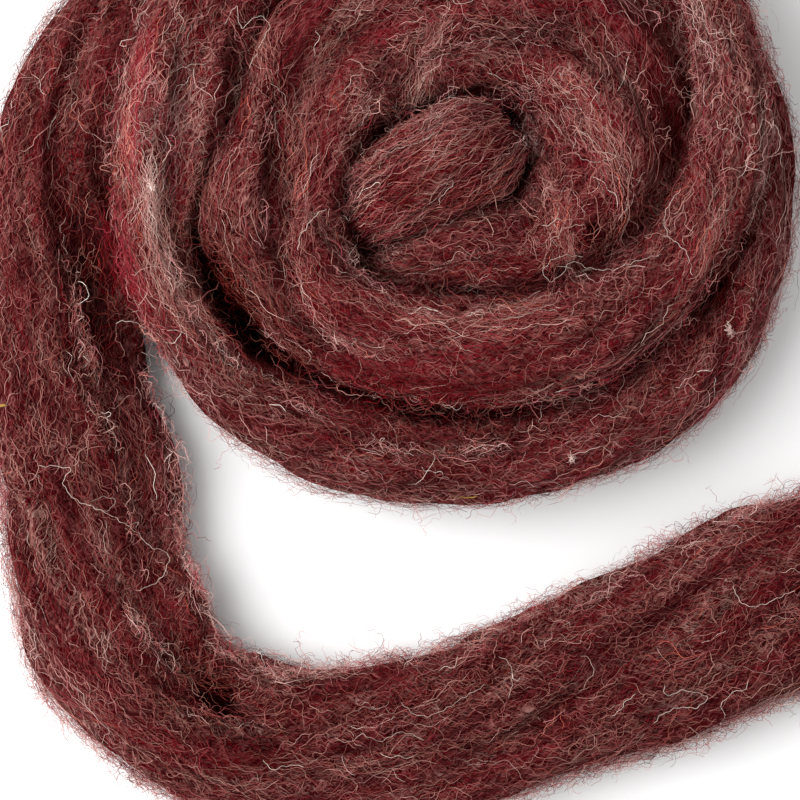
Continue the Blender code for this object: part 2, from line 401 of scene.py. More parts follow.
NEST_LOCKS = (
    Lock(230, 2.8, 0.1, 0.5, 0.0, (-66.5, 28, -69.5, 20, -71, 12, -71.5, 4, -70.5, -5)),
    Lock(240, 3.0, 1.1, -1.0, 0.0, (-67, -4, -66.5, -9, -65.3, -16, -63, -25, -58.5, -33, -53, -38)),
    Lock(150, 2.8, -0.5, 1.8, -0.4, (-75.5, -11, -74, -18, -72, -26, -68, -33, -63, -39)),
    Lock(220, 4.0, 0.2, 0.0, 0.0, (17, 19, 26, 12, 32, 2, 35, -9, 34, -17)),
    Lock(200, 4.0, 0.3, -0.2, 0.1, (13, 14, 20, 3, 23.5, -12, 24, -27)),
    Lock(150, 2.6, 0.4, -0.3, 0.1, (-2, 29, -6, 23, -8, 15, -9, 9)),
    Lock(120, 2.0, 0.4, 0.1, 0.0, (-12, 9, -17, 12.5, -20.5, 8)),
    Lock(260, 4.0, 0.3, -0.4, 0.1, (-23, -27, -12, -33, -1, -35.5, 11, -35, 23, -32)),
    Lock(150, 3.0, 0.4, 0.1, 0.0, (52, 1, 54, -7, 54, -16, 51, -24)),
    Lock(110, 1.6, 0.8, -0.2, 0.0, (23.5, -11, 23, -15, 24.5, -19)),
    Lock(200, 3.0, 0.4, 0.2, 0.0, (-29, 0, -34, -10, -35.5, -20, -32, -30, -26, -37)),
    Lock(200, 5.0, 0.1, -0.8, 0.4, (-53.1, -7.3, -50.9, -16.2, -46, -25.1, -40.5, -34, -35, -42)),
    Lock(170, 3.0, 0.4, -0.6, 0.1, (-46, 31, -41, 21, -38, 10, -37, 0)),
)

# Fibres over the slit at the front of the nest and over the gap at its left, darkened as painted shade of
# those creases.
NEST_TUFTS = (
    Lock(420, 3.0, -0.2, -0.6, 0.6, (-42, -38, -34, -45, -22, -50, -11, -54, 0, -55, 12, -54, 21, -52)),
    Lock(100, 3.6, -0.2, -0.6, 0.6, (-56, -15, -52, -24, -46, -33)),
)


def travelled(points: np.ndarray) -> np.ndarray:
    """How far along a line each of its points lies.

    Args:
        points: The line's points.

    Returns:
        A distance for each, from 0.
    """
    return np.concatenate([[0.0], np.cumsum(np.hypot.reduce(np.diff(points, axis=0), axis=1))])


def smooth_curve(rows: np.ndarray, at: np.ndarray, wanted: np.ndarray) -> np.ndarray:
    """A smooth curve through given rows.

    Args:
        rows: The rows.
        at: How far along each given row lies.
        wanted: How far along each new row lies.

    Returns:
        The new rows.
    """
    slopes = np.gradient(rows, at, axis=0)
    span = np.clip(np.searchsorted(at, wanted, side="right") - 1, 0, len(rows) - 2)
    long = (at[span + 1] - at[span])[:, None]
    t = (wanted[:, None] - at[span][:, None]) / long
    leaving, arriving = slopes[span] * long, slopes[span + 1] * long
    return (
        rows[span] * (2 * t**3 - 3 * t**2 + 1)
        + leaving * (t**3 - 2 * t**2 + t)
        + rows[span + 1] * (3 * t**2 - 2 * t**3)
        + arriving * (t**3 - t**2)
    )


def between(grid: np.ndarray, down: np.ndarray, across: np.ndarray) -> np.ndarray:
    """A grid's values between its points.

    Args:
        grid: The grid.
        down: How many rows down each place is.
        across: How many columns across each place is.

    Returns:
        The values at those places.
    """
    i, j = down.astype(int), np.minimum(across.astype(int), grid.shape[1] - 2)
    a, b = down - i, across - j
    if grid.ndim == 3:
        a, b = a[..., None], b[..., None]
    near = grid[i, j] * (1 - b) + grid[i, j + 1] * b
    far = grid[i + 1, j] * (1 - b) + grid[i + 1, j + 1] * b
    return near * (1 - a) + far * a


def placed(name: str, mesh: bpy.types.Mesh) -> bpy.types.Object:
    """A mesh as an object of the scene.

    Args:
        name: The object's name.
        mesh: The mesh.

    Returns:
        The object.
    """
    thing = bpy.data.objects.new(name, mesh)
    bpy.context.scene.collection.objects.link(thing)
    return thing


@dataclass(frozen=True)
class HeatherAndPaintedLight:
    """How the wools drift along and round the strand.

    Each drift is made of waves. Its three numbers are how many times they go round the strand, from
    the first and below the second, and how strong they are together. Lengths are in millimetres.
    At the open sides the wool is made paler and less dark. This is painted light that stands for
    light coming through the thin fibres there. The patches' darkness is painted shade and light.
    """

    seed: int = 11
    drifts: tuple[tuple[int, int, float], ...] = ((1, 9, 0.28), (8, 22, 0.24))
    waves: int = 14
    lengths: tuple[float, float] = (18, 90)
    # How much paler and how much less dark the open sides are made: painted light.
    rim_light_paleness: float = 0.5
    rim_light_darkness: float = -0.65

    def at(self, points: np.ndarray, along: np.ndarray, side: np.ndarray, rim: np.ndarray) -> np.ndarray:
        """How pale, how red and how dark the wool is at each place.

        Args:
            points: The places, as rows of x, y and z.
            along: How far along the strand each is, in metres.
            side: How far round it each is, in turns.
            rim: How near an open side each is, from 0 to 1.

        Returns:
            Rows of three numbers: paleness and redness, each about -1 to 1, and darkness, which is
            painted shade above 0 and painted light below it.
        """
        chance = np.random.default_rng(self.seed)
        pale = self._drift(along, side, chance)
        red = self._drift(along, side, chance)
        # Painted light at the open sides.
        pale = pale + self.rim_light_paleness * rim
        dark = self.rim_light_darkness * rim
        # The patches add the wools' own paleness and redness, and painted shade and light as darkness.
        for patch in PATCHES:
            felt = patch.strength(points)
            pale = pale + patch.pale * felt
            red = red + patch.red * felt
            dark = dark + patch.dark * felt
        return np.stack([pale, red, dark], axis=-1)

    def _drift(self, along: np.ndarray, side: np.ndarray, chance: np.random.Generator) -> np.ndarray:
        """One number that drifts along and round the strand.

        Args:
            along: How far along the strand each place is, in metres.
            side: How far round it each is, in turns.
            chance: The source of chance.

        Returns:
            The number at each place.
        """
        total = np.zeros(along.shape)
        for lowest, highest, strength in self.drifts:
            for _ in range(self.waves):
                times = chance.integers(lowest, highest)
                long = chance.uniform(*self.lengths) * MM
                phase = chance.uniform(0, 2 * math.pi)
                swing = np.cos(along * 2 * math.pi / long + times * 2 * math.pi * side + phase)
                total += swing * strength / math.sqrt(self.waves)
        return total


@dataclass
class Strand:
    """The roving's surface, as a grid of rings along it with evenly spaced points round each.

    The first fields, down to twists, draw each section as on the solids: how many millimetres
    apart their rings are, how full a section is, how many millimetres its round is sunk below its
    underside, how wide its furrow is beside half its width, the ridges round it, and how they twist
    along it. Finer is how many rings there are to one of the solids', and steps_per_row is how
    finely the line from one of the table's rows to the next is followed. Lumps are waves along and
    round the strand, whose lengths are in millimetres. Rims are the open sides, spread over so many
    rings and points each way, and made even along the strand. Map_rows is how many rows the strand
    is laid out in for a texture.
    """

    ring_spacing: float = 4.0
    fullness: float = 2.3
    sink: float = 1.6
    furrow_width: float = 0.25
    ridges: tuple[tuple[int, float, float], ...] = ((3, 0.035, 1.0), (5, 0.025, -1.7))
    twists: tuple[tuple[float, float, float], ...] = ((1.4, 57.0, 0.0), (0.8, 23.0, 1.0))
    finer: int = 2
    sides: int = 56
    steps_per_row: int = 40
    lump_count: int = 40
    lump_height: float = 0.13 * MM
    lump_waves: tuple[int, int] = (3, 17)
    lump_lengths: tuple[float, float] = (14, 80)
    seed: int = 11
    rim_depth: float = 1.6 * MM
    rim_spread: tuple[int, int] = (4, 1)
    rim_peak: float = 0.6
    faintest_rim: float = 0.1
    rim_gain: float = 2.5
    map_rows: int = 4
    map_margin: float = 0.01
    heather: HeatherAndPaintedLight = HeatherAndPaintedLight()
    points: np.ndarray = field(init=False)
    normals: np.ndarray = field(init=False)
    centres: np.ndarray = field(init=False)
    along: np.ndarray = field(init=False)
    girth: np.ndarray = field(init=False)
    given: np.ndarray = field(init=False)
    rim: np.ndarray = field(init=False)
    parting: int = field(init=False)

    def __post_init__(self) -> None:
        """Works the grid out from the tables."""
        turns = [turn.section() for turn in TURNS]
        table = np.array([astuple(row) for row in (*HEART, *turns, *LOOSE_END)], float)
        rows, along, given = self._rows(table)
        self.given = given * MM
        solid_rings = along[:: self.finer]
        parting = np.searchsorted(solid_rings, given[len(HEART) + len(TURNS)])
        self.parting = int(parting) * self.finer
        headings = np.gradient(rows[:, :2], along, axis=0)
        headings /= np.linalg.norm(headings, axis=1)[:, None]
        rings = np.array([self._ring(*of) for of in zip(rows, headings, along)])
        self.along = along * MM
        self.points = self._evened(rings) * MM
        self._measure()
        self.points += self.normals * self._lumps()[..., None]
        self.points[..., 2] = np.maximum(self.points[..., 2], 0.0)
        self._measure()
        self.centres = self.points[:, :-1].mean(axis=1)
        self.rim = np.zeros(self.points.shape[:2])

    def _rows(self, table: np.ndarray) -> tuple[np.ndarray, np.ndarray, np.ndarray]:
        """Evenly spaced rows on a smooth line through the table's, whole numbers to a solid's ring.

        Args:
            table: The table's rows, whose first two columns are x and y.

        Returns:
            The new rows, how far along the line each lies, and how far along each given row lies.
        """
        at = travelled(table[:, :2])
        fine = np.linspace(0.0, at[-1], self.steps_per_row * len(table))
        curve = smooth_curve(table, at, fine)
        far = travelled(curve[:, :2])
        rings = max(2, round(far[-1] / self.ring_spacing) + 1)
        even = np.linspace(0.0, far[-1], self.finer * (rings - 1) + 1)
        columns = [np.interp(even, far, column) for column in curve.T]
        return np.stack(columns, axis=1), even, np.interp(at, fine, far)

    def _ring(self, row: np.ndarray, heading: np.ndarray, along: float) -> np.ndarray:
        """The points round one section, in millimetres, from the middle of its underside.

        Args:
            row: The section's numbers.
            heading: The way that the strand runs there.
            along: How far along the strand it lies.

        Returns:
            Rows of x, y and z, the last one the same as the first.
        """
        x, y, width, height, lift, groove, furrow = row
        around = np.linspace(-0.5 * math.pi, 1.5 * math.pi, 2 * self.sides + 1)
        across, rise = np.cos(around), np.sin(around)
        across = np.sign(across) * np.abs(across) ** (2 / self.fullness)
        rise = np.sign(rise) * np.abs(rise) ** (2 / self.fullness)
        twist = sum(angle * math.sin(along / per + start) for angle, per, start in self.twists)
        swell = 1 + sum(s * np.cos(n * around + drift * twist) for n, s, drift in self.ridges)
        dip = groove * np.exp(-(((across - furrow) / self.furrow_width) ** 2)) * (rise > 0)
        middle = lift - self.sink + (height + self.sink) / 2
        out = swell * width / 2 * across
        up = middle + swell * (height + self.sink) / 2 * rise - dip
        return np.stack([x - heading[1] * out, y + heading[0] * out, np.maximum(up, 0.0)], axis=1)

    def _evened(self, rings: np.ndarray) -> np.ndarray:
        """The rings, each with its points spaced evenly round it.

        Args:
            rings: The rings as drawn.

        Returns:
            Rings with one point for each side, and the first point again.
        """
        even = []
        for ring in rings:
            round_it = travelled(ring)
            wanted = np.linspace(0.0, round_it[-1], self.sides + 1)
            even.append(np.stack([np.interp(wanted, round_it, c) for c in ring.T], axis=1))
        return np.array(even)

    def _measure(self) -> None:
        """Works out the grid's normals, and how far it is round each ring."""
        lengthwise = np.gradient(self.points, axis=0)
        closed = np.concatenate([self.points[:, -2:-1], self.points, self.points[:, 1:2]], axis=1)
        normals = np.cross(closed[:, 2:] - closed[:, :-2], lengthwise)
        size = np.linalg.norm(normals, axis=2)[..., None]
        self.normals = normals / np.maximum(size, TINY_AREA)
        steps = np.linalg.norm(np.diff(self.points, axis=1), axis=2)
        self.girth = steps.sum(axis=1)

    def _lumps(self) -> np.ndarray:
        """How far lumps and shallow furrows raise each point of the grid.

        Returns:
            A height for each point, in metres.
        """
        chance = np.random.default_rng(self.seed)
        around = np.linspace(0.0, 2 * math.pi, self.sides + 1)[None, :]
        height = np.zeros(self.points.shape[:2])
        for _ in range(self.lump_count):
            waves = chance.integers(*self.lump_waves)
            long = chance.uniform(*self.lump_lengths) * MM
            phase = chance.uniform(0, 2 * math.pi)
            height += np.cos(self.along[:, None] * 2 * math.pi / long + waves * around + phase)
        return height * self.lump_height

    def thin_rims(self, open_sides: np.ndarray) -> None:
        """Draws the surface in at its open sides, where the wool thins out into loose fibres.

        Args:
            open_sides: How open each point of the grid is to its side, from 0 to 1.
        """
        rim = open_sides[:, :-1]
        for axis, reach in enumerate(self.rim_spread):
            rim = sum(np.roll(rim, step, axis) for step in range(-reach, reach + 1)) / (2 * reach + 1)
        peak = rim.max(axis=1, keepdims=True)
        rim = rim * np.clip(self.rim_peak / np.maximum(peak, self.faintest_rim), 1, self.rim_gain)
        self.rim = np.concatenate([rim, rim[:, :1]], axis=1)
        self.points -= self.normals * self.rim[..., None] * self.rim_depth
        self._measure()

    def ring_at(self, row: int) -> int:
        """The ring nearest a row of the table.

        Args:
            row: The row's place in the whole table.

        Returns:
            The ring.
        """
        return int(np.searchsorted(self.along, self.given[row]))

    def on_surface(self, ring: np.ndarray, side: np.ndarray, grid: np.ndarray) -> np.ndarray:
        """A grid's values at places on the surface.

        Args:
            ring: How many rings along each place is.
            side: How many sides round it is.
            grid: The values at the grid's points.

        Returns:
            The values at those places.
        """
        return between(grid, np.clip(ring, 0, len(self.along) - GRID_END), np.mod(side, self.sides))

    def drift(self, points: np.ndarray, ring: np.ndarray, side: np.ndarray, rim: np.ndarray) -> np.ndarray:
        """How pale, how red and how dark the wool is at places on the grid.

        Args:
            points: The places, as rows of x, y and z.
            ring: How many rings along each is.
            side: How many sides round it is.
            rim: How near an open side it is, from 0 to 1.

        Returns:
            The heather's three numbers for each place, whose darkness and rim paleness are painted shade
            and light.
        """
        return self.heather.at(points, ring * self.along[1], side / self.sides, rim)

    def courses(self) -> np.ndarray:
        """The way that the strand's middle line runs at each ring."""
        return np.gradient(self.centres, axis=0)

    def cells(self, first: int, last: int) -> tuple[np.ndarray, np.ndarray]:
        """The faces between two rings, those round each ring in turn.

        Args:
            first: The first ring.
            last: The last ring.

        Returns:
            How many rings after the first each face is, and its side.
        """
        return np.divmod(np.arange((last - first) * self.sides), self.sides)

    def quads(self, first: int, last: int) -> np.ndarray:
        """The four corners of each face between two rings.

        Args:
            first: The first ring.
            last: The last ring.

        Returns:
            Rows of four numbers of points, counted from the first ring's.
        """
        i, j = self.cells(first, last)
        k = (j + 1) % self.sides
        near, far = i * self.sides, (i + 1) * self.sides
        return np.stack([far + j, far + k, near + k, near + j], axis=1)

    def mesh(self, name: str, first: int, last: int) -> bpy.types.Mesh:
        """The surface from one ring to another, closed at both ends.

        Args:
            name: The mesh's name.
            first: The first ring.
            last: The last ring.

        Returns:
            The mesh, with its map in metres along and round the strand.
        """
        verts = self.points[first : last + 1, :-1].reshape(-1, 3)
        ends = np.array([self.centres[first], self.centres[last]])
        turn = np.arange(self.sides)
        onward = (turn + 1) % self.sides
        base = (last - first) * self.sides
        start, stop = (np.full(self.sides, len(verts) + end) for end in (0, 1))
        near_cap = np.stack([turn, onward, start], axis=1)
        far_cap = np.stack([base + onward, base + turn, stop], axis=1)
        faces = [*self.quads(first, last).tolist(), *near_cap.tolist(), *far_cap.tolist()]
        mesh = bpy.data.meshes.new(name)
        mesh.from_pydata(np.concatenate([verts, ends]).tolist(), [], faces)
        self._map_strand(mesh, first, last)
        self._map_bake(mesh, first, last)
        mesh.update()
        return mesh

    def _map_strand(self, mesh: bpy.types.Mesh, first: int, last: int) -> None:
        """Lays the map that a pattern follows the wool by.

        Args:
            mesh: The mesh.
            first: Its first ring.
            last: Its last ring.
        """
        i, j = self.cells(first, last)
        turn = np.arange(self.sides)
        step, per_side = self.along[1], float(self.girth.mean()) / self.sides
        u, v = (first + i) * step, j * per_side
        corners = [(u + step, v), (u + step, v + per_side), (u, v + per_side), (u, v)]
        parts = [np.stack([np.stack(c, axis=1) for c in corners], axis=1)]
        for ring in (first, last):
            at = np.full(self.sides, ring * step)
            cap = [(at, turn * per_side), (at, (turn + 1) * per_side), (at + step, turn * per_side)]
            parts.append(np.stack([np.stack(c, axis=1) for c in cap], axis=1))
        layer = mesh.uv_layers.new(name=STRAND_MAP)
        layer.data.foreach_set("uv", np.concatenate([part.reshape(-1, 2) for part in parts]).ravel())

    def _map_bake(self, mesh: bpy.types.Mesh, first: int, last: int) -> None:
        """Lays the strand out in a few rows, on the map that a texture is made on.

        Args:
            mesh: The mesh.
            first: Its first ring.
            last: Its last ring.
        """
        rows, margin = self.map_rows, self.map_margin
        i, j = self.cells(first, last)
        per_row = math.ceil((last - first) / rows)
        row, u = i // per_row, i % per_row
        corners = [(u + 1, j), (u + 1, j + 1), (u, j + 1), (u, j)]
        across = [a / (per_row + 1) for a, _ in corners]
        up = [(row + margin + (1 - 2 * margin) * b / self.sides) / rows for _, b in corners]
        quads = np.stack([np.stack(across, axis=1), np.stack(up, axis=1)], axis=2)
        spare = (per_row + np.array([[0.2, 0.1], [0.8, 0.1], [0.8, 0.9]])) / (per_row + 1)
        caps = np.tile(spare, (2 * self.sides, 1))
        layer = mesh.uv_layers.new(name=BAKE_MAP, do_init=False)
        layer.data.foreach_set("uv", np.concatenate([quads.reshape(-1, 2), caps]).ravel())


class Board:
    """A material's node board."""

    def __init__(self, name: str) -> None:
        """Starts a material with its shader and output alone.

        Args:
            name: The material's name.
        """
        self.material = bpy.data.materials.new(name)
        self.material.use_nodes = True
        self.tree = self.material.node_tree
        self.shader = self.tree.nodes["Principled BSDF"]

    def add(self, kind: str, **settings: object) -> bpy.types.Node:
        """Adds a node.

        Args:
            kind: Its type's name, such as ShaderNodeMath.
            settings: Values for its own properties.

        Returns:
            The node.
        """
        node = self.tree.nodes.new(kind)
        for name, value in settings.items():
            setattr(node, name, value)
        return node

    def feed(self, socket: bpy.types.NodeSocket, value: Value) -> None:
        """Joins an output to a socket, or sets the socket's own value.

        Args:
            socket: The socket.
            value: An output, or a plain value.
        """
        if isinstance(value, bpy.types.NodeSocket):
            self.tree.links.new(value, socket)
        else:
            socket.default_value = value

    def dress(self, colour: Value, roughness: float, shine: float = 0.0) -> bpy.types.Material:
        """Finishes the shader.

        Args:
            colour: Its colour.
            roughness: How rough it is.
            shine: How strong its gloss is.

        Returns:
            The board's material.
        """
        self.feed(self.shader.inputs["Base Color"], colour)
        self.shader.inputs["Roughness"].default_value = roughness
        self.shader.inputs["Specular IOR Level"].default_value = shine
        return self.material

    def attribute(self, name: str, output: str) -> bpy.types.NodeSocket:
        """A mesh attribute, read through the output of the given name."""
        return self.add("ShaderNodeAttribute", attribute_name=name).outputs[output]

    def math(self, operation: str, a: Value, b: Value = 0.0, clamp: bool = False) -> bpy.types.NodeSocket:
        """One step of arithmetic.

        Args:
            operation: The node's operation.
            a: The first value.
            b: The second value.
            clamp: Whether the answer is kept from 0 to 1.

        Returns:
            The answer's socket.
        """
        node = self.add("ShaderNodeMath", operation=operation, use_clamp=clamp)
        self.feed(node.inputs[0], a)
        self.feed(node.inputs[1], b)
        return node.outputs[0]

    def vector(self, operation: str, a: Value, b: Value) -> bpy.types.NodeSocket:
        """One step of arithmetic on vectors.

        Args:
            operation: The node's operation.
            a: The first vector.
            b: The second vector.

        Returns:
            The answer's socket.
        """
        node = self.add("ShaderNodeVectorMath", operation=operation)
        self.feed(node.inputs[0], a)
        self.feed(node.inputs[1], b)
        return node.outputs[0]

    def mix(self, share: Value, a: Value, b: Value) -> bpy.types.NodeSocket:
        """A colour between two.

        Args:
            share: How much of the second.
            a: The first colour.
            b: The second colour.

        Returns:
            The colour's socket.
        """
        node = self.add("ShaderNodeMix", data_type="RGBA", clamp_factor=True)
        # The node's sockets for colours come after those for numbers and vectors.
        factor, first, second, result = node.inputs[0], node.inputs[6], node.inputs[7], node.outputs[2]
        for socket, value in ((factor, share), (first, a), (second, b)):
            self.feed(socket, value)
        return result

    def noise(self, vector: Value, scale: tuple[float, float], detail: float) -> bpy.types.NodeSocket:
        """Soft noise on a flat map, stretched each way by its scale.

        Args:
            vector: The map.
            scale: How many features a metre, along and across.
            detail: The octaves of finer noise.

        Returns:
            The noise's socket, from 0 to 1.
        """
        node = self.add("ShaderNodeTexNoise", noise_dimensions="2D")
        self.feed(node.inputs["Vector"], self.vector("MULTIPLY", vector, (*scale, 1.0)))
        node.inputs["Scale"].default_value = 1.0
        node.inputs["Detail"].default_value = detail
        node.inputs["Roughness"].default_value = 0.6
        return node.outputs[0]


@dataclass(frozen=True)
class Layer:
    """One layer of the matted fibres: the way they lie, how they wave, and how many there are.

    Slant is in degrees, across and crimps are how many there are to a metre, and stretch is how
    many fibres there are along the strand for one across it.
    """

    slant: float
    shift: float
    across: float
    wave: float
    sharpness: float
    cover: float
    crimps: tuple[float, float] = (230, 360)
    stretch: float = 0.11

    def fibres(self, board: Board, where: Value) -> bpy.types.NodeSocket:
        """The layer's thin crimped fibres.

        Args:
            board: The board.
            where: The strand's map.

        Returns:
            A socket that is near 1 on a fibre and 0 between.
        """
        turned = board.add("ShaderNodeVectorRotate", rotation_type="Z_AXIS")
        board.feed(turned.inputs["Vector"], where)
        turned.inputs["Angle"].default_value = math.radians(self.slant)
        place = board.vector("ADD", turned.outputs[0], (self.shift, self.shift * 0.6, 0.0))
        wave = board.math("SUBTRACT", board.noise(place, self.crimps, 1.0), 0.5)
        offset = board.add("ShaderNodeCombineXYZ")
        board.feed(offset.inputs[1], board.math("MULTIPLY", wave, 2 * self.wave))
        bent = board.vector("ADD", place, offset.outputs[0])
        grain = board.noise(bent, (self.across * self.stretch, self.across), 1.0)
        off_line = board.math("ABSOLUTE", board.math("SUBTRACT", board.math("MULTIPLY", grain, 2), 1))
        ridge = board.math("SUBTRACT", 1.0, board.math("MULTIPLY", off_line, self.sharpness), clamp=True)
        return board.math("MULTIPLY", ridge, self.cover)


@dataclass(frozen=True)
class MattedWool:
    """The finish of the strand's body: crimped fibres matted along it, in heathered shades."""

    name: str = "matted_wool"
    roughness: float = 0.95
    relief: float = 0.30 * MM
    grain: tuple[float, float] = (420, 1100)
    tufts: tuple[float, float] = (110, 520)
    tuft_height: float = 3.0
    paleness: float = 0.25
    redness: float = 0.2
    layers: tuple[Layer, ...] = (
        Layer(9, 0.11, 1700, 0.9 * MM, 4.5, 0.75),
        Layer(-22, 0.37, 1600, 1.1 * MM, 5.0, 0.75),
        Layer(20, 0.71, 1900, 1.0 * MM, 8.0, 0.6),
        Layer(-7, 0.53, 1700, 1.2 * MM, 6.5, 0.8),
        Layer(31, 0.29, 1500, 1.3 * MM, 10.0, 0.65),
        Layer(-34, 0.83, 1400, 1.4 * MM, 13.0, 0.75),
    )

    def build(self) -> bpy.types.Material:
        """The material.

        Returns:
            The material, which reads the strand's map and the "heather" attribute.
        """
        board = Board(self.name)
        where = board.add("ShaderNodeUVMap", uv_map=STRAND_MAP).outputs[0]
        tufts = board.noise(where, self.tufts, 2.0)
        grain = board.noise(where, self.grain, 1.0)
        parts = board.add("ShaderNodeSeparateXYZ")
        board.feed(parts.inputs[0], board.attribute(HEATHER_AND_LIGHT, "Vector"))
        # The attribute's paleness includes painted light at the open sides.
        pale = board.math("ADD", parts.outputs[0], self.paleness, clamp=True)
        red = board.math("ADD", parts.outputs[1], self.redness, clamp=True)
        colour = board.mix(grain, Shade.BLACKCURRANT.tone(0.3), Shade.OXBLOOD.tone(0.5))
        deep = board.mix(red, Shade.OXBLOOD.tone(0.8), Shade.MADDER.tone(1.1))
        rose = board.mix(pale, Shade.ROSE.tone(0.6), Shade.FAWN.tone(0.9))
        light = board.mix(pale, Shade.ROSE.tone(0.9), Shade.OATMEAL.tone(0.9))
        height = 0.0
        for layer, tone in zip(self.layers, (deep, deep, rose, deep, rose, light)):
            fibres = layer.fibres(board, where)
            colour = board.mix(fibres, colour, tone)
            height = board.math("MAXIMUM", height, fibres)
        # Painted shade: the attribute's darkness mixes the colour towards near black in creases and
        # hollows.
        colour = board.mix(parts.outputs[2], colour, Shade.BLACKCURRANT.tone(0.2))
        height = board.math("ADD", height, board.math("MULTIPLY", tufts, self.tuft_height))
        bump = board.add("ShaderNodeBump")
        bump.inputs["Strength"].default_value = 1.0
        bump.inputs["Distance"].default_value = self.relief
        board.feed(bump.inputs["Height"], height)
        board.feed(board.shader.inputs["Normal"], bump.outputs[0])
        return board.dress(colour, self.roughness)


@dataclass(frozen=True)
class PaintedShadeWool:
    """The finish of the wool deep between the turns, near black as painted shade for the gaps there."""

    name: str = "painted_shade_wool"
    roughness: float = 1.0
    patches: tuple[float, float] = (420, 420)
    darkest: float = 0.08
    lightest: float = 0.2

    def build(self) -> bpy.types.Material:
        """The material.

        Returns:
            The material, which reads the object's own coordinates.
        """
        board = Board(self.name)
        where = board.add("ShaderNodeTexCoord").outputs["Object"]
        wool = Shade.BLACKCURRANT
        patches = board.noise(where, self.patches, 4.0)
        colour = board.mix(patches, wool.tone(self.darkest), wool.tone(self.lightest))
        return board.dress(colour, self.roughness)


@dataclass(frozen=True)
class FibreWool:
    """The finish of the loose fibres, each in the shade that its attribute gives."""

    name: str = "loose_fibres"
    roughness: float = 0.7

    def build(self) -> bpy.types.Material:
        """The material.

        Returns:
            The material, which reads the "shade" attribute.
        """
        board = Board(self.name)
        return board.dress(board.attribute(SHADE, "Color"), self.roughness)


@dataclass(frozen=True)
class PaleFloor:
    """The finish of the floor."""

    name: str = "pale_floor"
    colour: tuple[float, float, float, float] = (0.9, 0.9, 0.9, 1)
    roughness: float = 0.9
    shine: float = 0.1

    def build(self) -> bpy.types.Material:
        """The material."""
        return Board(self.name).dress(self.colour, self.roughness, self.shine)


@dataclass(frozen=True)
class Habit:
    """How the fibres of a crop grow. Lengths are in metres, and angles in radians.

    Spread is how far their headings stray from the strand's. Crimp is how far a fibre swings as it
    goes, and wave is how long its quickest swing is. Curl is how much it bends one way, in radians
    a metre. Base, lift and arch say how far it stands off the surface: all along, at its ends and
    in its middle.
    """

    segments: int
    thickness: float
    length: float
    spread: float
    crimp: float
    wave: float
    curl: float
    base: float
    lift: float
    arch: float
    brightness: float = 1.0
    # How much a fibre's length strays, and between which shares of the habit's own.
    length_spread: ClassVar[float] = 0.35
    length_range: ClassVar[tuple[float, float]] = (0.45, 2.0)
    # The swings of a fibre: the share of the crimp that each has, and how many waves long it is.
    swings: ClassVar[tuple[tuple[float, float], ...]] = ((0.75, 1.0), (0.75, 1.9), (0.6, 4.1))
    swing_range: ClassVar[tuple[float, float]] = (0.4, 1.5)
    wave_range: ClassVar[tuple[float, float]] = (0.75, 1.45)
    # How far off the surface even the lowest fibre lies.
    least_height: ClassVar[float] = 0.03 * MM

    def paths(self, count: int, chance: np.random.Generator) -> tuple[np.ndarray, np.ndarray, np.ndarray]:
        """Flat crimped paths through the origin, each with a heading of its own.

        Args:
            count: How many.
            chance: The source of chance.

        Returns:
            How far ahead and aside each point of each fibre is, and how far along its fibre it is,
            from 0 to 1.
        """
        length = self.length * np.clip(chance.lognormal(0.0, self.length_spread, count), *self.length_range)
        t = np.linspace(0, 1, self.segments + 1)[None, :]
        along = t * length[:, None]
        turning = chance.choice([0.0, math.pi], count) + chance.normal(0, self.spread, count)
        heading = np.repeat(turning[:, None], self.segments + 1, axis=1)
        for swing_share, times in self.swings:
            swing = swing_share * self.crimp * chance.uniform(*self.swing_range, count)
            long = times * self.wave * chance.uniform(*self.wave_range, count)
            phase = chance.uniform(0, 2 * math.pi, count)
            heading += swing[:, None] * np.sin(2 * math.pi * along / long[:, None] + phase[:, None])
        heading += chance.normal(0, self.curl, count)[:, None] * along
        stride = (length / self.segments)[:, None]
        ahead = np.cumsum(np.cos(heading) * stride, axis=1)
        aside = np.cumsum(np.sin(heading) * stride, axis=1)
        middle = slice(self.segments // 2, self.segments // 2 + 1)
        return ahead - ahead[:, middle], aside - aside[:, middle], t

    def heights(self, t: np.ndarray, count: int, chance: np.random.Generator) -> np.ndarray:
        """How far each point of each fibre stands off the surface.

        Args:
            t: How far along its fibre each point is, from 0 to 1.
            count: How many fibres.
            chance: The source of chance.

        Returns:
            The heights, in metres.
        """
        base = self.base * chance.uniform(0, 1, count)[:, None] ** 2 + self.least_height
        first = np.abs(chance.normal(0, self.lift, count))[:, None]
        last = np.abs(chance.normal(0, self.lift, count))[:, None]
        arch = chance.uniform(0, self.arch, count)[:, None]
        ends = first * np.clip(1 - 2 * t, 0, 1) ** 2 + last * np.clip(2 * t - 1, 0, 1) ** 2
        return base + ends + arch * np.sin(math.pi * t)


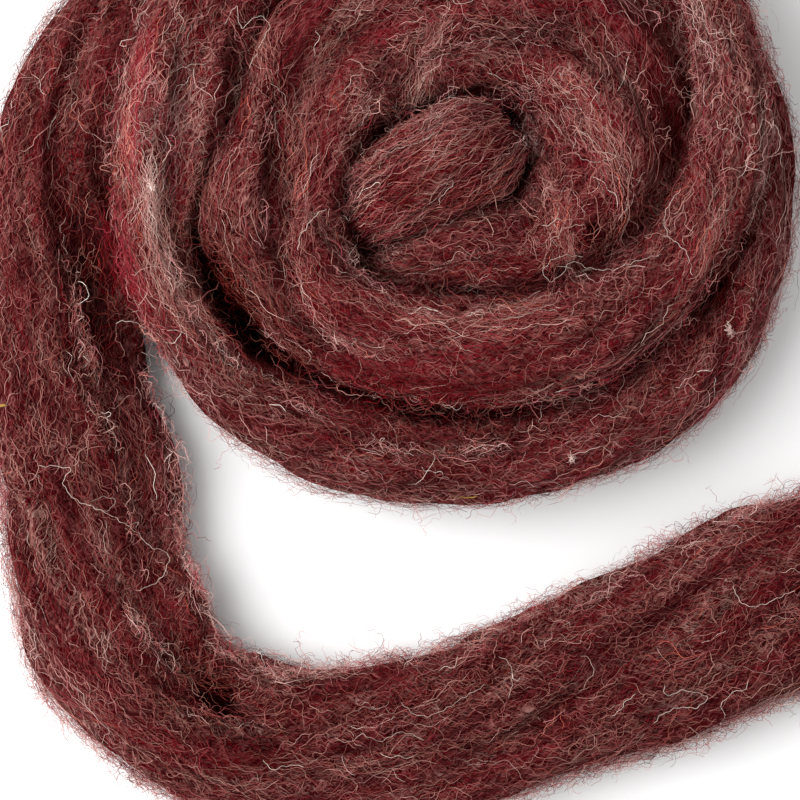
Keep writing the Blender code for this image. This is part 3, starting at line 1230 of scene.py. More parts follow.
class Lie(Enum):
    """The ways that fibres lie."""

    MATTED = Habit(9, 0.095 * MM, 7.5 * MM, 0.45, 0.6, 3.2 * MM, 50, 0.45 * MM, 0.3 * MM, 0.3 * MM)
    COMBED = Habit(12, 0.10 * MM, 10 * MM, 0.2, 0.4, 4.0 * MM, 20, 0.5 * MM, 0.3 * MM, 0.3 * MM, 1.1)
    LONG = Habit(20, 0.075 * MM, 16 * MM, 0.35, 0.55, 4.2 * MM, 45, 0.7 * MM, 0.6 * MM, 0.5 * MM, 0.95)
    BRIDGING = Habit(11, 0.095 * MM, 9.0 * MM, 0.75, 0.6, 3.2 * MM, 60, 0.3 * MM, 0.1 * MM, 0.4 * MM)
    VEIL = Habit(9, 0.09 * MM, 6.5 * MM, 0.35, 0.9, 2.8 * MM, 110, 0.8 * MM, 0.0, 2.2 * MM, 1.2)
    NEP = Habit(6, 0.13 * MM, 1.8 * MM, 1.2, 1.0, 1.2 * MM, 300, 1.1 * MM, 0.0, 0.6 * MM, 1.15)
    HALO = Habit(10, 0.07 * MM, 5.5 * MM, 0.9, 1.1, 2.4 * MM, 220, 0.3 * MM, 0.0, 0.4 * MM, 1.1)
    WISP = Habit(10, 0.09 * MM, 6.5 * MM, 0.25, 0.6, 3.2 * MM, 60, 0.2 * MM, 0.5 * MM, 0.2 * MM)


@dataclass
class Fibres:
    """Loose fibres joined into one mesh of narrow ribbons."""

    # How far ribbons roll from lying flat, in radians, the shares of the habit's thickness that
    # their widths lie between, and the share of its width that a ribbon has at its tips.
    roll: ClassVar[float] = 0.5
    width_range: ClassVar[tuple[float, float]] = (0.65, 1.3)
    tip: ClassVar[float] = 0.3
    # How much deeper than its own a wool's colour is: its mean, how far it strays, how much of the
    # heather's darkness is added, and its lowest and highest. That darkness is painted shade where it
    # is above 0 and painted light where it is below, apart from the neps, whose own pale colour it gives.
    depth: ClassVar[float] = 0.08
    depth_spread: ClassVar[float] = 0.18
    depth_by_dark: ClassVar[float] = 0.5
    depth_range: ClassVar[tuple[float, float]] = (-0.35, 1.2)

    name: str
    seed: int
    lie: Lie

    @property
    def habit(self) -> Habit:
        """How the fibres grow."""
        return self.lie.value

    @property
    def middle(self) -> int:
        """The point in the middle of each fibre."""
        return self.habit.segments // 2

    def shades(self, drift: np.ndarray, chance: np.random.Generator) -> np.ndarray:
        """The colour of each fibre, picked from the heather's wools.

        Args:
            drift: How pale, how red and how dark the wool is round each fibre.
            chance: The source of chance.

        Returns:
            A row of red, green and blue for each fibre.
        """
        pale, red, dark = drift.T
        weights = [s.common * np.exp(s.with_pale * pale + s.with_red * red) for s in HEATHER_MIX.values()]
        weights = np.stack(weights, axis=1)
        bounds = np.cumsum(weights / weights.sum(axis=1)[:, None], axis=1)
        pick = (chance.random(len(drift))[:, None] > bounds).sum(axis=1)
        pick = np.minimum(pick, len(HEATHER_MIX) - 1)
        colours = np.array([shade.value for shade in HEATHER_MIX])[pick]
        depth = chance.normal(self.depth, self.depth_spread, len(drift)) + self.depth_by_dark * dark
        depth = 1 + np.clip(depth, *self.depth_range)
        return colours ** depth[:, None] * self.habit.brightness

    def joined(
        self, spine: np.ndarray, normal: np.ndarray, shades: np.ndarray, chance: np.random.Generator
    ) -> bpy.types.Object:
        """Narrow ribbons along the fibres' spines, in one mesh.

        Args:
            spine: The fibres' middle lines.
            normal: The surface's normals under them, or one for each fibre or for all.
            shades: The fibres' colours.
            chance: The source of chance.

        Returns:
            The object, with the "shade" attribute and a map of one small cell for each fibre.
        """
        count, steps = spine.shape[:2]
        heading = np.gradient(spine, axis=1)
        across = np.cross(heading, normal)
        across /= np.maximum(np.linalg.norm(across, axis=2)[..., None], TINY)
        upright = np.cross(across, heading)
        upright /= np.maximum(np.linalg.norm(upright, axis=2)[..., None], TINY)
        roll = chance.normal(0, self.roll, count)[:, None, None]
        across = across * np.cos(roll) + upright * np.sin(roll)
        width = self.habit.thickness * chance.uniform(*self.width_range, count)[:, None, None]
        taper = np.ones(steps)
        taper[[0, -1]] = self.tip
        half = across * width * taper[None, :, None] / 2
        verts = np.stack([spine - half, spine + half], axis=2).reshape(-1, 3)
        verts[:, 2] = np.maximum(verts[:, 2], LOWEST_EDGE)
        base = (np.arange(count) * steps * 2)[:, None] + (np.arange(steps - 1) * 2)[None, :]
        base = base.ravel()
        faces = np.stack([base, base + 1, base + 3, base + 2], axis=1)
        mesh = bpy.data.meshes.new(self.name)
        mesh.vertices.add(len(verts))
        mesh.vertices.foreach_set("co", verts.ravel())
        mesh.loops.add(faces.size)
        mesh.loops.foreach_set("vertex_index", faces.ravel())
        mesh.polygons.add(len(faces))
        mesh.polygons.foreach_set("loop_start", np.arange(0, faces.size, 4))
        colour = np.ones((len(verts), 4))
        colour[:, :3] = np.repeat(shades, steps * 2, axis=0)
        layer = mesh.attributes.new(SHADE, "FLOAT_COLOR", "POINT")
        layer.data.foreach_set("color", colour.ravel())
        self._map_cells(mesh, count, steps)
        mesh.update()
        mesh.validate()
        LOG.info("%s: %d fibres, %d faces", self.name, count, len(mesh.polygons))
        return placed(self.name, mesh)

    def _map_cells(self, mesh: bpy.types.Mesh, count: int, steps: int) -> None:
        """Gives each fibre a small cell of its own on the map that a texture is made on.

        Args:
            mesh: The fibres' mesh.
            count: The number of fibres.
            steps: The number of points along each.
        """
        per_row = math.ceil(math.sqrt(count))
        fibre = np.arange(count)
        left = (fibre % per_row)[:, None, None]
        low = (fibre // per_row)[:, None, None]
        t = np.linspace(0.1, 0.9, steps)
        u = np.stack([t[:-1], t[:-1], t[1:], t[1:]], axis=1)[None]
        v = np.tile(np.array([0.1, 0.9, 0.9, 0.1]), (steps - 1, 1))[None]
        cells = np.stack([(left + u) / per_row, (low + v) / per_row], axis=-1)
        layer = mesh.uv_layers.new(name=BAKE_MAP)
        layer.data.foreach_set("uv", cells.ravel())


@dataclass
class Growth(Fibres):
    """Fibres that grow on one stretch of the strand: how many, and the rings that it lies between."""

    count: int
    first: int
    last: int

    def roots(
        self, strand: Strand, shares: np.ndarray, chance: np.random.Generator
    ) -> tuple[np.ndarray, np.ndarray]:
        """Where the fibres are rooted.

        Args:
            strand: The strand.
            shares: How much of the growth each point of the strand's grid gets.
            chance: The source of chance.

        Returns:
            The ring and the side of each root.
        """
        weights = shares[self.first : self.last, : strand.sides].ravel()
        cell = chance.choice(len(weights), size=self.count, p=weights / weights.sum())
        ring = self.first + cell // strand.sides + chance.uniform(0, 1, self.count)
        side = cell % strand.sides + chance.uniform(0, 1, self.count)
        return ring, side


@dataclass
class Crop(Growth):
    """Fibres that lie on the strand's surface, and stand up more at its open sides."""

    rim_lift: float = 4.5

    def build(self, strand: Strand, bare: np.ndarray) -> bpy.types.Object:
        """Grows the crop.

        Args:
            strand: The strand that it grows on.
            bare: How much each point of the strand's grid shows, from 0 to 1.

        Returns:
            The crop's object.
        """
        chance = np.random.default_rng(self.seed)
        shares = bare * (1 + strand.rim) * strand.girth[:, None]
        ring, side = self.roots(strand, shares, chance)
        ahead, aside, t = self.habit.paths(self.count, chance)
        girth = np.interp(ring, np.arange(len(strand.girth)), strand.girth)[:, None]
        at_ring = ring[:, None] + ahead / strand.along[1]
        at_side = side[:, None] + aside * strand.sides / girth
        normal = strand.on_surface(at_ring, at_side, strand.normals)
        rim = strand.on_surface(ring, side, strand.rim)
        height = self.habit.heights(t, self.count, chance) * (1 + self.rim_lift * rim[:, None])
        spine = strand.on_surface(at_ring, at_side, strand.points) + normal * height[..., None]
        spine[..., 2] = np.maximum(spine[..., 2], LOWEST_FIBRE)
        # Painted light: fibres near an open side take the rims' paler, less dark colour.
        drift = strand.drift(spine[:, self.middle], ring, side, rim)
        return self.joined(spine, normal, self.shades(drift, chance), chance)


@dataclass
class Halo(Growth):
    """Fibres that stand out round the strand's open sides.

    Droop is how far down the way that they stand out may point, slopes are the shares of their
    aside swings that lift them, and sway is how far they wave to a side, so many times.
    """

    droop: float = -0.2
    slopes: tuple[float, ...] = (0.3, 0.6, 1.0)
    sway: float = 0.6 * MM
    sways: tuple[float, float] = (2, 9)

    def build(self, strand: Strand, shares: np.ndarray) -> bpy.types.Object:
        """Grows the halo.

        Args:
            strand: The strand that it grows on.
            shares: How much of the halo each point of the strand's grid gets.

        Returns:
            The halo's object.
        """
        chance = np.random.default_rng(self.seed)
        ring, side = self.roots(strand, shares, chance)
        root = strand.on_surface(ring, side, strand.points)[:, None, :]
        out = strand.on_surface(ring, side, strand.normals)
        out[:, 2] = np.maximum(out[:, 2], self.droop)
        course = strand.courses()[ring.astype(int)]
        course /= np.linalg.norm(course, axis=1)[:, None]
        third = np.cross(course, out)
        ahead, aside, t = self.habit.paths(self.count, chance)
        aside = np.abs(aside - aside[:, :1]) * chance.choice(self.slopes, self.count)[:, None]
        reach = self.habit.heights(t, self.count, chance) + aside
        sway = self.sway * np.sin(t * chance.uniform(*self.sways, self.count)[:, None])
        sway = sway * chance.normal(0, 1, self.count)[:, None]
        spine = root + course[:, None] * ahead[..., None] + out[:, None] * reach[..., None]
        spine = spine + third[:, None] * sway[..., None]
        spine[..., 2] = np.maximum(spine[..., 2], LOWEST_FIBRE)
        # Painted light: every halo fibre takes the rims' paler, less dark colour in full.
        drift = strand.drift(spine[:, 0], ring, side, np.ones(self.count))
        return self.joined(spine, third[:, None], self.shades(drift, chance), chance)


@dataclass
class Wisp(Fibres):
    """Fibres that run on past the strand's torn end: how many, and from how far inside it."""

    count: int
    inside: float = 4 * MM
    root_range: tuple[float, float] = (0.05, 1.1)
    rings_back: int = 4

    def build(self, strand: Strand) -> bpy.types.Object:
        """Grows the fibres.

        Args:
            strand: The strand that they end.

        Returns:
            The fibres' object.
        """
        chance = np.random.default_rng(self.seed)
        ring = len(strand.along) - 1 - chance.uniform(0, self.inside, self.count) / strand.along[1]
        side = chance.uniform(0, strand.sides, self.count)
        rim, out = (strand.on_surface(ring, side, grid) for grid in (strand.points, strand.normals))
        middle = strand.centres[ring.astype(int)]
        root = middle + (rim - middle) * np.sqrt(chance.uniform(*self.root_range, self.count))[:, None]
        course = strand.centres[-1] - strand.centres[-1 - self.rings_back]
        course /= np.linalg.norm(course)
        third = np.cross(course, out)
        ahead, aside, t = self.habit.paths(self.count, chance)
        ahead, aside = np.abs(ahead - ahead[:, :1]), aside - aside[:, :1]
        height = self.habit.heights(t, self.count, chance)
        spine = root[:, None] + ahead[..., None] * course + aside[..., None] * third[:, None]
        spine = spine + height[..., None] * out[:, None]
        spine[..., 2] = np.maximum(spine[..., 2], LOWEST_FIBRE)
        drift = strand.drift(spine[:, 0], ring, side, np.zeros(self.count))
        return self.joined(spine, out[:, None], self.shades(drift, chance), chance)


@dataclass
class Relief:
    """The roving's heights as seen from above, on a square grid.

    Low is the height of what shows, and closed the same with creases closed that are narrower than
    so many steps. Ring and side are those of the face that shows, or -1 and 0 where the floor does.
    Each square is looked at from the eye's height, as far down as sight reaches.
    """

    strand: Strand
    tree: BVHTree
    step: float = 0.7 * MM
    closing: int = 4
    eye_height: float = 0.1
    sight: float = 0.0995
    corner: np.ndarray = field(init=False)
    shape: np.ndarray = field(init=False)
    low: np.ndarray = field(init=False)
    closed: np.ndarray = field(init=False)
    ring: np.ndarray = field(init=False)
    side: np.ndarray = field(init=False)

    def __post_init__(self) -> None:
        """Looks straight down on each square."""
        flat = self.strand.points[..., :2].reshape(-1, 2)
        self.corner = flat.min(axis=0) - 2 * self.step
        self.shape = np.ceil((flat.max(axis=0) - self.corner) / self.step).astype(int) + 2
        self.low = np.zeros(self.shape)
        self.ring = np.full(self.shape, -1)
        self.side = np.zeros(self.shape, int)
        down = Vector((0, 0, -1))
        for i, j in np.ndindex(*self.shape):
            x, y = self.corner[0] + i * self.step, self.corner[1] + j * self.step
            place, _, face, _ = self.tree.ray_cast(Vector((x, y, self.eye_height)), down, self.sight)
            if face is not None:
                self.low[i, j] = place.z
                self.ring[i, j], self.side[i, j] = divmod(face, self.strand.sides)
        swollen = self._spread(self.low, np.maximum)
        self.closed = self._spread(swollen, np.minimum)

    def _spread(self, grid: np.ndarray, choose: np.ufunc) -> np.ndarray:
        """Each square's highest or lowest neighbour, as far off as creases are closed.

        Args:
            grid: The grid.
            choose: Which of two values is kept.

        Returns:
            The new grid.
        """
        for _ in range(self.closing):
            for axis in (0, 1):
                back, on = np.roll(grid, 1, axis), np.roll(grid, -1, axis)
                grid = choose(grid, choose(back, on))
        return grid

    def _squares(self, x: np.ndarray, y: np.ndarray) -> tuple[np.ndarray, np.ndarray]:
        """How many squares right and back each place is."""
        return (x - self.corner[0]) / self.step, (y - self.corner[1]) / self.step

    def square(self, x: np.ndarray, y: np.ndarray) -> tuple[np.ndarray, np.ndarray]:
        """The grid's square at each place.

        Args:
            x: How far right each place is.
            y: How far back each place is.

        Returns:
            The square's two numbers.
        """
        u, v = (np.clip(np.rint(w), 0, n - 1) for w, n in zip(self._squares(x, y), self.shape))
        return u.astype(int), v.astype(int)

    def sample(self, grid: np.ndarray, x: np.ndarray, y: np.ndarray) -> np.ndarray:
        """A grid's values between its squares.

        Args:
            grid: The grid.
            x: How far right each place is.
            y: How far back each place is.

        Returns:
            The values there.
        """
        u, v = (np.clip(w, 0, n - GRID_END) for w, n in zip(self._squares(x, y), self.shape))
        return between(grid, u, v)


@dataclass
class Bridge(Growth):
    """Fibres that lie over the creases between the turns.

    There are more of them the deeper a crease is, up to so many millimetres, and a few everywhere.
    They hang no deeper than a little way below the wool at their roots, and their colour is
    darkened by the depth under them, up to so many millimetres: painted shade of the crease.
    """

    everywhere: float = 0.15
    most_filled: float = 5
    deepest: float = 4 * MM
    deepest_shade: float = 6
    shade_falloff: float = 5

    def build(self, strand: Strand, relief: Relief) -> bpy.types.Object:
        """Grows the fibres.

        Args:
            strand: The strand.
            relief: Its heights.

        Returns:
            The fibres' object.
        """
        chance = np.random.default_rng(self.seed)
        here = (relief.ring >= self.first) & (relief.ring < self.last)
        filled = np.clip((relief.closed - relief.low) / MM, 0, self.most_filled)
        weights = (here * (self.everywhere + filled)).ravel()
        cell = chance.choice(weights.size, size=self.count, p=weights / weights.sum())
        i, j = np.divmod(cell, relief.shape[1])
        x = relief.corner[0] + (i + chance.uniform(-0.5, 0.5, self.count)) * relief.step
        y = relief.corner[1] + (j + chance.uniform(-0.5, 0.5, self.count)) * relief.step
        ring, side = relief.ring[i, j], relief.side[i, j]
        course = strand.courses()[ring]
        turn = np.arctan2(course[:, 1], course[:, 0])[:, None]
        ahead, aside, t = self.habit.paths(self.count, chance)
        px = x[:, None] + ahead * np.cos(turn) - aside * np.sin(turn)
        py = y[:, None] + ahead * np.sin(turn) + aside * np.cos(turn)
        share = chance.uniform(0.0, 1.0, self.count)[:, None]
        low, closed = (relief.sample(grid, px, py) for grid in (relief.low, relief.closed))
        pz = low + (closed - low) * share + self.habit.heights(t, self.count, chance)
        pz = np.maximum(pz, relief.sample(relief.low, x, y)[:, None] - self.deepest)
        spine = np.stack([px, py, pz], axis=-1)
        drift = strand.drift(spine[:, self.middle], ring, side, np.zeros(self.count))
        shades = self.shades(drift, chance)
        # Painted shade: fibres over a deeper crease are darker.
        depth = np.clip((closed - low)[:, self.middle] / MM, 0, self.deepest_shade)
        crease_shade = np.exp(-depth / self.shade_falloff)
        return self.joined(spine, UP, shades * crease_shade[:, None], chance)


@dataclass
class LockSet(Fibres):
    """Locks of wool laid over the turns.

    Deepest and highest say how far up out of a crease their fibres lie, from 0 to 1, and overrun
    is how far their ends may run on past the line of the lock.
    """

    locks: tuple[Lock, ...]
    deepest: float = 0.0
    highest: float = 0.6
    overrun: float = 12 * MM

    def build(self, strand: Strand, relief: Relief) -> bpy.types.Object:
        """Lays the locks.

        Args:
            strand: The strand.
            relief: The roving's heights.

        Returns:
            The locks' object.
        """
        chance = np.random.default_rng(self.seed)
        spines, shades = [], []
        for lock in self.locks:
            spine = self._lay(lock, relief, chance)
            middle = spine[:, self.middle]
            i, j = relief.square(middle[:, 0], middle[:, 1])
            ring, side = np.maximum(relief.ring[i, j], 0), relief.side[i, j]
            drift = strand.drift(middle, ring, side, np.zeros(lock.count))
            spines.append(spine)
            shades.append(self.shades(drift + np.array([lock.pale, lock.red, lock.dark]), chance))
        return self.joined(np.concatenate(spines), UP, np.concatenate(shades), chance)

    def _lay(self, lock: Lock, relief: Relief, chance: np.random.Generator) -> np.ndarray:
        """The spines of one lock's fibres.

        Args:
            lock: The lock.
            relief: The roving's heights.
            chance: The source of chance.

        Returns:
            A row of points for each fibre.
        """
        bends = np.array(lock.line).reshape(-1, 2) * MM
        lead = (bends[0] - bends[1]) / np.linalg.norm(bends[0] - bends[1])
        trail = (bends[-1] - bends[-2]) / np.linalg.norm(bends[-1] - bends[-2])
        bends = np.vstack([bends[0] + lead * self.overrun, bends, bends[-1] + trail * self.overrun])
        at = travelled(bends)
        ahead, aside, t = self.habit.paths(lock.count, chance)
        root = chance.uniform(self.overrun, at[-1] - self.overrun, lock.count)[:, None]
        off = chance.normal(0, lock.wide * MM / 2, lock.count)[:, None] + aside
        slopes = np.gradient(bends, at, axis=0)
        line, course = (
            np.stack([np.interp(root + ahead, at, column) for column in rows.T], axis=-1)
            for rows in (bends, slopes)
        )
        course /= np.linalg.norm(course, axis=-1)[..., None]
        x = line[..., 0] - course[..., 1] * off
        y = line[..., 1] + course[..., 0] * off
        low, closed = (relief.sample(grid, x, y) for grid in (relief.low, relief.closed))
        share = chance.uniform(self.deepest, self.highest, lock.count)[:, None]
        z = low + (closed - low) * share + self.habit.heights(t, lock.count, chance)
        return np.stack([x, y, z], axis=-1)


@dataclass
class HairSet:
    """Long hairs laid over the wool, joined into one mesh of thin closed tubes.

    Each crimp is how long its waves are and how far they swing, in millimetres. Ride and bob are
    how high a hair rides over the wool and how far it rises and falls, in millimetres, and bobs
    is how often, in radians a metre.
    """

    name: str
    seed: int
    hairs: tuple[Hair, ...]
    sides: int = 4
    stride: float = 0.35 * MM
    fewest: int = 6
    crimps: tuple[tuple[float, float], ...] = ((1.9, 0.10), (3.1, 0.13))
    smoothing: int = 6
    ride: float = 0.9
    bob: float = 0.5
    bobs: float = 900
    brightness: tuple[float, float] = (0.6, 1.0)
    tip: float = 0.4

    def build(self, relief: Relief) -> bpy.types.Object:
        """Lays the hairs.

        Args:
            relief: The roving's heights.

        Returns:
            The hairs' object.
        """
        chance = np.random.default_rng(self.seed)
        verts, faces, shades = [], [], []
        for hair in self.hairs:
            spine = self._spine(hair, relief, chance)
            shade = np.array(hair.shade.value) * chance.uniform(*self.brightness)
            self._tube(spine, hair.width * MM / 2, verts, faces)
            shades += [(*shade, 1.0)] * (len(spine) * self.sides)
        mesh = bpy.data.meshes.new(self.name)
        mesh.from_pydata(verts, [], faces)
        layer = mesh.attributes.new(SHADE, "FLOAT_COLOR", "POINT")
        layer.data.foreach_set("color", np.array(shades).ravel())
        mesh.shade_smooth()
        mesh.update()
        LOG.info("%s: %d hairs, %d faces", self.name, len(self.hairs), len(faces))
        return placed(self.name, mesh)

    def _spine(self, hair: Hair, relief: Relief, chance: np.random.Generator) -> np.ndarray:
        """The middle line of a hair, smooth between its bends and a little crimped.

        Args:
            hair: The hair.
            relief: The roving's heights.
            chance: The source of chance.

        Returns:
            Its points.
        """
        bends = np.array(hair.line).reshape(-1, 2) * MM
        at = travelled(bends)
        fine = np.linspace(0, at[-1], max(self.fewest, round(at[-1] / self.stride)))
        line = smooth_curve(bends, at, fine)
        course = np.gradient(line, axis=0)
        course /= np.maximum(np.linalg.norm(course, axis=1)[:, None], TINY)
        phases = chance.uniform(0, 2 * math.pi, len(self.crimps))
        crimp = sum(
            np.sin(fine * 2 * math.pi / (long * MM) + phase) * swing * MM
            for (long, swing), phase in zip(self.crimps, phases)
        )
        line = line + np.stack([-course[:, 1], course[:, 0]], axis=1) * crimp[:, None]
        rise = relief.sample(relief.closed, line[:, 0], line[:, 1])
        window = 2 * self.smoothing + 1
        padded = np.pad(rise, self.smoothing, mode="edge")
        smooth = np.convolve(padded, np.ones(window) / window, mode="valid")
        bob = self.ride + self.bob * np.sin(fine * self.bobs + phases[1])
        rise = np.maximum(rise, smooth) + bob * MM
        return np.column_stack([line, rise])

    def _tube(
        self,
        spine: np.ndarray,
        radius: float,
        verts: list[tuple[float, ...]],
        faces: list[tuple[int, ...]],
    ) -> None:
        """Adds a closed tube to the mesh's lists.

        Args:
            spine: Its middle line.
            radius: Its radius.
            verts: The mesh's points so far.
            faces: The mesh's faces so far.
        """
        base, sides = len(verts), self.sides
        heading = np.gradient(spine, axis=0)
        heading /= np.maximum(np.linalg.norm(heading, axis=1)[:, None], TINY)
        across = np.cross(heading, UP)
        across /= np.maximum(np.linalg.norm(across, axis=1)[:, None], TINY)
        upright = np.cross(across, heading)
        taper = np.ones(len(spine))
        taper[[0, -1]] = self.tip
        for n in range(len(spine)):
            for k in range(sides):
                angle = 2 * math.pi * k / sides
                arm = across[n] * math.cos(angle) + upright[n] * math.sin(angle)
                verts.append(tuple(spine[n] + arm * radius * taper[n]))
        for n in range(len(spine) - 1):
            for k in range(sides):
                a, b = base + n * sides + k, base + n * sides + (k + 1) % sides
                faces.append((a, b, b + sides, a + sides))
        faces.append(tuple(range(base, base + sides))[::-1])
        top = base + (len(spine) - 1) * sides
        faces.append(tuple(range(top, top + sides)))


@dataclass
class Roving:
    """The whole strand: its nest, its loose end, and what its fibres need to know of it.

    The bed is a low disc whose top swells inside its edge, and its near-black finish is painted
    shade for the gaps between the turns. What another turn faces within sight is covered, and a side
    is open where the next wool is beyond the clearance. It counts most at the side's tilt, which is
    how far up its normal points, and less as that strays by side_spread. The starts are how far off
    the surface a look from it begins, in millimetres.
    """

    strand: Strand
    body_finish: bpy.types.Material
    bed_shade_finish: bpy.types.Material
    bed_radius: float = 66 * MM
    bed_top: float = 6 * MM
    bed_sides: int = 96
    bed_edge: float = 12 * MM
    bed_swell: float = 1 * MM
    sight: float = 60 * MM
    seen_from_a_side: float = 0.45
    clearance: float = 8 * MM
    side_tilt: float = 0.15
    side_spread: float = 0.35
    side_reach: float = 0.6
    side_bottom: float = 2 * MM
    side_start: float = 0.3
    bare_bottom: float = 0.5 * MM
    bare_tilt: float = 0.2
    bare_start: float = 0.15
    least_round: float = 0.6

    def bodies(self) -> tuple[bpy.types.Object, bpy.types.Object]:
        """The nest's strand and the loose end's.

        Returns:
            Their two objects.
        """
        last = len(self.strand.along) - 1
        nest = self._body("nest_strand", 0, self.strand.parting)
        tail = self._body("loose_end", self.strand.parting, last)
        return nest, tail

    def _body(self, name: str, first: int, last: int) -> bpy.types.Object:
        """One stretch of the strand as a closed body.

        Args:
            name: Its name.
            first: Its first ring.
            last: Its last ring.

        Returns:
            Its object.
        """
        strand = self.strand
        mesh = strand.mesh(name, first, last)
        mesh.shade_smooth()
        mesh.set_sharp_from_angle(angle=math.radians(60))
        grid = strand.points[first : last + 1, :-1]
        along = np.repeat(strand.along[first : last + 1], strand.sides).reshape(grid.shape[:2])
        side = np.tile(np.arange(strand.sides) / strand.sides, (len(grid), 1))
        rim = strand.rim[first : last + 1, :-1]
        # These carry painted light at the rims and painted shade and light from the patches.
        values = strand.heather.at(grid, along, side, rim).reshape(-1, 3)
        values = np.concatenate([values, values[:1], values[-1:]])
        layer = mesh.attributes.new(HEATHER_AND_LIGHT, "FLOAT_VECTOR", "POINT")
        layer.data.foreach_set("vector", values.ravel())
        mesh.materials.append(self.body_finish)
        LOG.info("%s: %d faces", name, len(mesh.polygons))
        return placed(name, mesh)

    def bed(self) -> bpy.types.Object:
        """The matted wool under the turns, which closes the gaps between them, near black as painted shade.

        Returns:
            Its object.
        """
        bpy.ops.mesh.primitive_cylinder_add(
            vertices=self.bed_sides,
            radius=self.bed_radius,
            depth=self.bed_top,
            location=(0, 0, self.bed_top / 2),
        )
        bed = bpy.context.object
        bed.name = "nest_bed"
        bpy.ops.object.transform_apply(location=True)
        bpy.ops.object.mode_set(mode="EDIT")
        bpy.ops.mesh.select_all(action="DESELECT")
        bpy.ops.object.mode_set(mode="OBJECT")
        for face in bed.data.polygons:
            face.select = face.normal.z > 0.9
        bpy.ops.object.mode_set(mode="EDIT")
        bpy.ops.mesh.inset(thickness=self.bed_edge, depth=self.bed_swell)
        bpy.ops.object.mode_set(mode="OBJECT")
        bed.data.shade_smooth()
        bed.data.set_sharp_from_angle(angle=math.radians(40))
        # Near black: painted shade for the gaps between the turns.
        bed.data.materials.append(self.bed_shade_finish)
        LOG.info("%s: %d faces", bed.name, len(bed.data.polygons))
        return bed

    def tree(self) -> BVHTree:
        """The strand's surface, for finding what lies along a line.

        Returns:
            Its tree, whose faces go round each ring in turn.
        """
        verts = self.strand.points[:, :-1].reshape(-1, 3)
        quads = np.roll(self.strand.quads(0, len(self.strand.along) - 1), 1, axis=1)
        return BVHTree.FromPolygons(verts.tolist(), quads.tolist())

    def _grid(self) -> Iterator[tuple[int, int, Vector, Vector]]:
        """Goes through the points of the strand's grid.

        Yields:
            Each point's ring, its side, its place and its normal.
        """
        for ring, side in np.ndindex(len(self.strand.along), self.strand.sides):
            point, normal = self.strand.points[ring, side], self.strand.normals[ring, side]
            yield ring, side, Vector(point), Vector(normal)

    def bare(self, tree: BVHTree) -> np.ndarray:
        """How much each point of the strand's grid shows.

        Args:
            tree: The strand's surface.

        Returns:
            1 for what can be seen from above, less for what is only seen from a side, and 0 for
            what another turn or the floor covers.
        """
        shows = np.zeros(self.strand.rim.shape)
        up = Vector(UP)
        for ring, side, point, normal in self._grid():
            if point.z < self.bare_bottom and normal.z < self.bare_tilt:
                continue
            start = point + normal * self.bare_start * MM
            _, facing, _, _ = tree.ray_cast(start, normal, self.sight)
            if facing is not None and facing.dot(normal) > 0:
                continue
            _, facing, _, _ = tree.ray_cast(start, up, self.sight)
            shows[ring, side] = 1.0 if facing is None else self.seen_from_a_side
        shows[:, -1] = shows[:, 0]
        return shows

    def open_sides(self, tree: BVHTree) -> np.ndarray:
        """How open each point of the strand's grid is to the side that it faces.

        Args:
            tree: The strand's surface.

        Returns:
            Most for upright sides with nothing near them, and 0 for what is covered.
        """
        opens = np.zeros(self.strand.rim.shape)
        for ring, side, point, normal in self._grid():
            if abs(normal.z - self.side_tilt) > self.side_reach or point.z < self.side_bottom:
                continue
            away = Vector((normal.x, normal.y, 0)).normalized()
            start = point + normal * self.side_start * MM
            if tree.ray_cast(start, away, self.clearance)[0] is None:
                opens[ring, side] = math.exp(-(((normal.z - self.side_tilt) / self.side_spread) ** 2))
        return opens

    def halo_shares(self, open_sides: np.ndarray) -> np.ndarray:
        """Where loose fibres grow, as many on a sharp side as on a round one.

        Args:
            open_sides: How open each point of the strand's grid is to its side.

        Returns:
            The share of each point.
        """
        course = self.strand.courses()
        left = np.stack([-course[:, 1], course[:, 0], np.zeros(len(course))], axis=1)
        on_left = (self.strand.normals * left[:, None]).sum(axis=2) > 0
        shares = np.zeros(open_sides.shape)
        for half in (on_left, ~on_left):
            part = open_sides * half
            total = part.sum(axis=1, keepdims=True)
            shares += part / np.maximum(total, self.least_round) * np.clip(2 * total, 0, 1)
        return shares


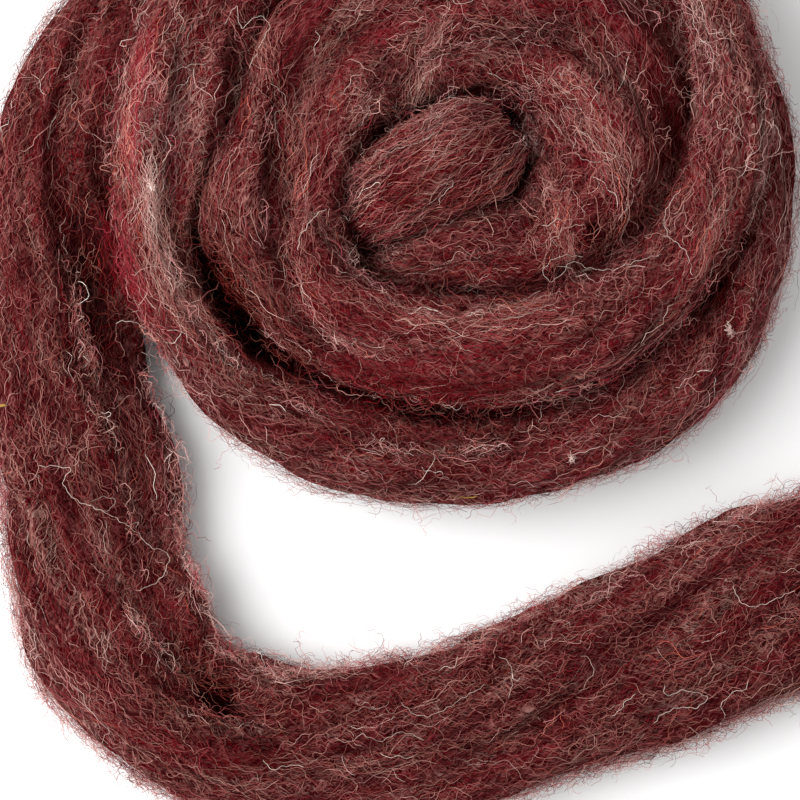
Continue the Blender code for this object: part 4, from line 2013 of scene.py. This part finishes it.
@dataclass(frozen=True)
class Studio:
    """The floor, the lights and the camera.

    Frame is how many pixels a square view is across, pixel is how much of the nest's level each
    shows, and nest_at is the pixel over the middle of the nest, from the top left.
    """

    pixel: float = 0.22 * MM
    frame: int = 800
    nest_at: tuple[int, int] = (455, 165)
    eye_height: float = 0.60
    focus_height: float = 0.020
    sensor: float = 36
    floor_size: float = 6.0
    fill_strength: float = 0.65
    key_at: tuple[float, float, float] = (-0.60, 0.03, 0.58)
    key_aim: tuple[float, float, float] = (0, -0.05, 0)
    key_size: float = 0.8
    key_energy: float = 11.5

    def camera(self) -> None:
        """Looks straight down on the nest's near side and the loose end."""
        x = (self.frame / 2 - self.nest_at[0]) * self.pixel
        y = -(self.frame / 2 - self.nest_at[1]) * self.pixel
        bpy.ops.object.camera_add(location=(x, y, self.focus_height + self.eye_height))
        camera = bpy.context.object
        camera.rotation_euler = (0, 0, 0)
        camera.data.sensor_width = self.sensor
        camera.data.lens = self.sensor * self.eye_height / (self.frame * self.pixel)
        camera.data.clip_start = 0.01
        bpy.context.scene.camera = camera

    def floor(self) -> bpy.types.Object:
        """A plain pale floor.

        Returns:
            The floor.
        """
        bpy.ops.mesh.primitive_plane_add(size=self.floor_size, location=(0, 0, 0))
        floor = bpy.context.object
        floor.name = "floor"
        floor.data.materials.append(PaleFloor().build())
        return floor

    def light(self) -> None:
        """A large soft light from the upper left, and an even fill."""
        bpy.context.scene.view_settings.view_transform = "Standard"
        world = bpy.data.worlds.new("studio")
        bpy.context.scene.world = world
        world.use_nodes = True
        fill = world.node_tree.nodes["Background"]
        fill.inputs["Color"].default_value = (1, 1, 1, 1)
        fill.inputs["Strength"].default_value = self.fill_strength
        bpy.ops.object.light_add(type="AREA", location=self.key_at)
        key = bpy.context.object
        key.data.shape = "SQUARE"
        key.data.size = self.key_size
        key.data.energy = self.key_energy
        aim = Vector(self.key_aim) - key.location
        key.rotation_euler = aim.to_track_quat("-Z", "Y").to_euler()


def main() -> None:
    """Builds the roving in its studio."""
    logging.basicConfig(level=logging.INFO, format="%(message)s")
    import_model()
    bpy.ops.object.select_all(action="DESELECT")
    studio = Studio()
    studio.camera()

    strand = Strand()
    last, parting = len(strand.along) - 1, strand.parting
    LOG.info("strand: %.0f mm, parting at %.0f", strand.along[-1] / MM, strand.along[parting] / MM)
    wool, fibres = MattedWool().build(), FibreWool().build()
    roving = Roving(strand, wool, PaintedShadeWool().build())
    open_sides = roving.open_sides(roving.tree())
    strand.thin_rims(open_sides)
    nest, tail = roving.bodies()
    bed = roving.bed()
    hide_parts("nest")
    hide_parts("tail")
    tree = roving.tree()
    bare = roving.bare(tree)
    halo_shares = roving.halo_shares(open_sides)
    relief = Relief(strand, tree)
    # The ring where the heart turns under itself, as far as its combed fibres go.
    fold = strand.ring_at(len(HEART) - 4)
    nest_grown = [
        Crop("nest_fibres_1", 101, Lie.MATTED, 7700, 0, parting).build(strand, bare),
        Crop("nest_fibres_2", 102, Lie.MATTED, 7700, 0, parting).build(strand, bare),
        Crop("heart_fibres", 106, Lie.COMBED, 1000, 0, fold).build(strand, bare),
        Crop("nest_long", 103, Lie.LONG, 1700, 0, parting).build(strand, bare),
        Halo("nest_veil", 108, Lie.VEIL, 4200, 0, parting).build(strand, halo_shares),
        Halo("nest_halo", 104, Lie.HALO, 2200, 0, parting).build(strand, halo_shares),
        Bridge("nest_bridging", 105, Lie.BRIDGING, 3300, 0, parting).build(strand, relief),
        LockSet("nest_locks", 109, Lie.COMBED, NEST_LOCKS).build(strand, relief),
        LockSet("nest_tufts", 111, Lie.BRIDGING, NEST_TUFTS, 0.1, 1.0).build(strand, relief),
        LockSet("nest_neps", 110, Lie.NEP, NEPS).build(strand, relief),
        HairSet("nest_hairs", 107, NEST_HAIRS).build(relief),
    ]
    tail_grown = [
        Crop("tail_fibres", 201, Lie.MATTED, 7650, parting, last).build(strand, bare),
        Crop("tail_long", 202, Lie.LONG, 800, parting, last).build(strand, bare),
        Halo("tail_veil", 205, Lie.VEIL, 4200, parting, last).build(strand, halo_shares),
        Halo("tail_halo", 203, Lie.HALO, 1600, parting, last).build(strand, halo_shares),
        Wisp("tail_wisp", 206, Lie.WISP, 300).build(strand),
        HairSet("tail_hairs", 204, TAIL_HAIRS).build(relief),
    ]
    for piece in (*nest_grown, *tail_grown):
        piece.data.materials.append(fibres)
    for piece in (nest, tail, bed, *nest_grown, *tail_grown):
        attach(piece, BODY)
    studio.floor()
    studio.light()


if __name__ == "__main__":
    main()
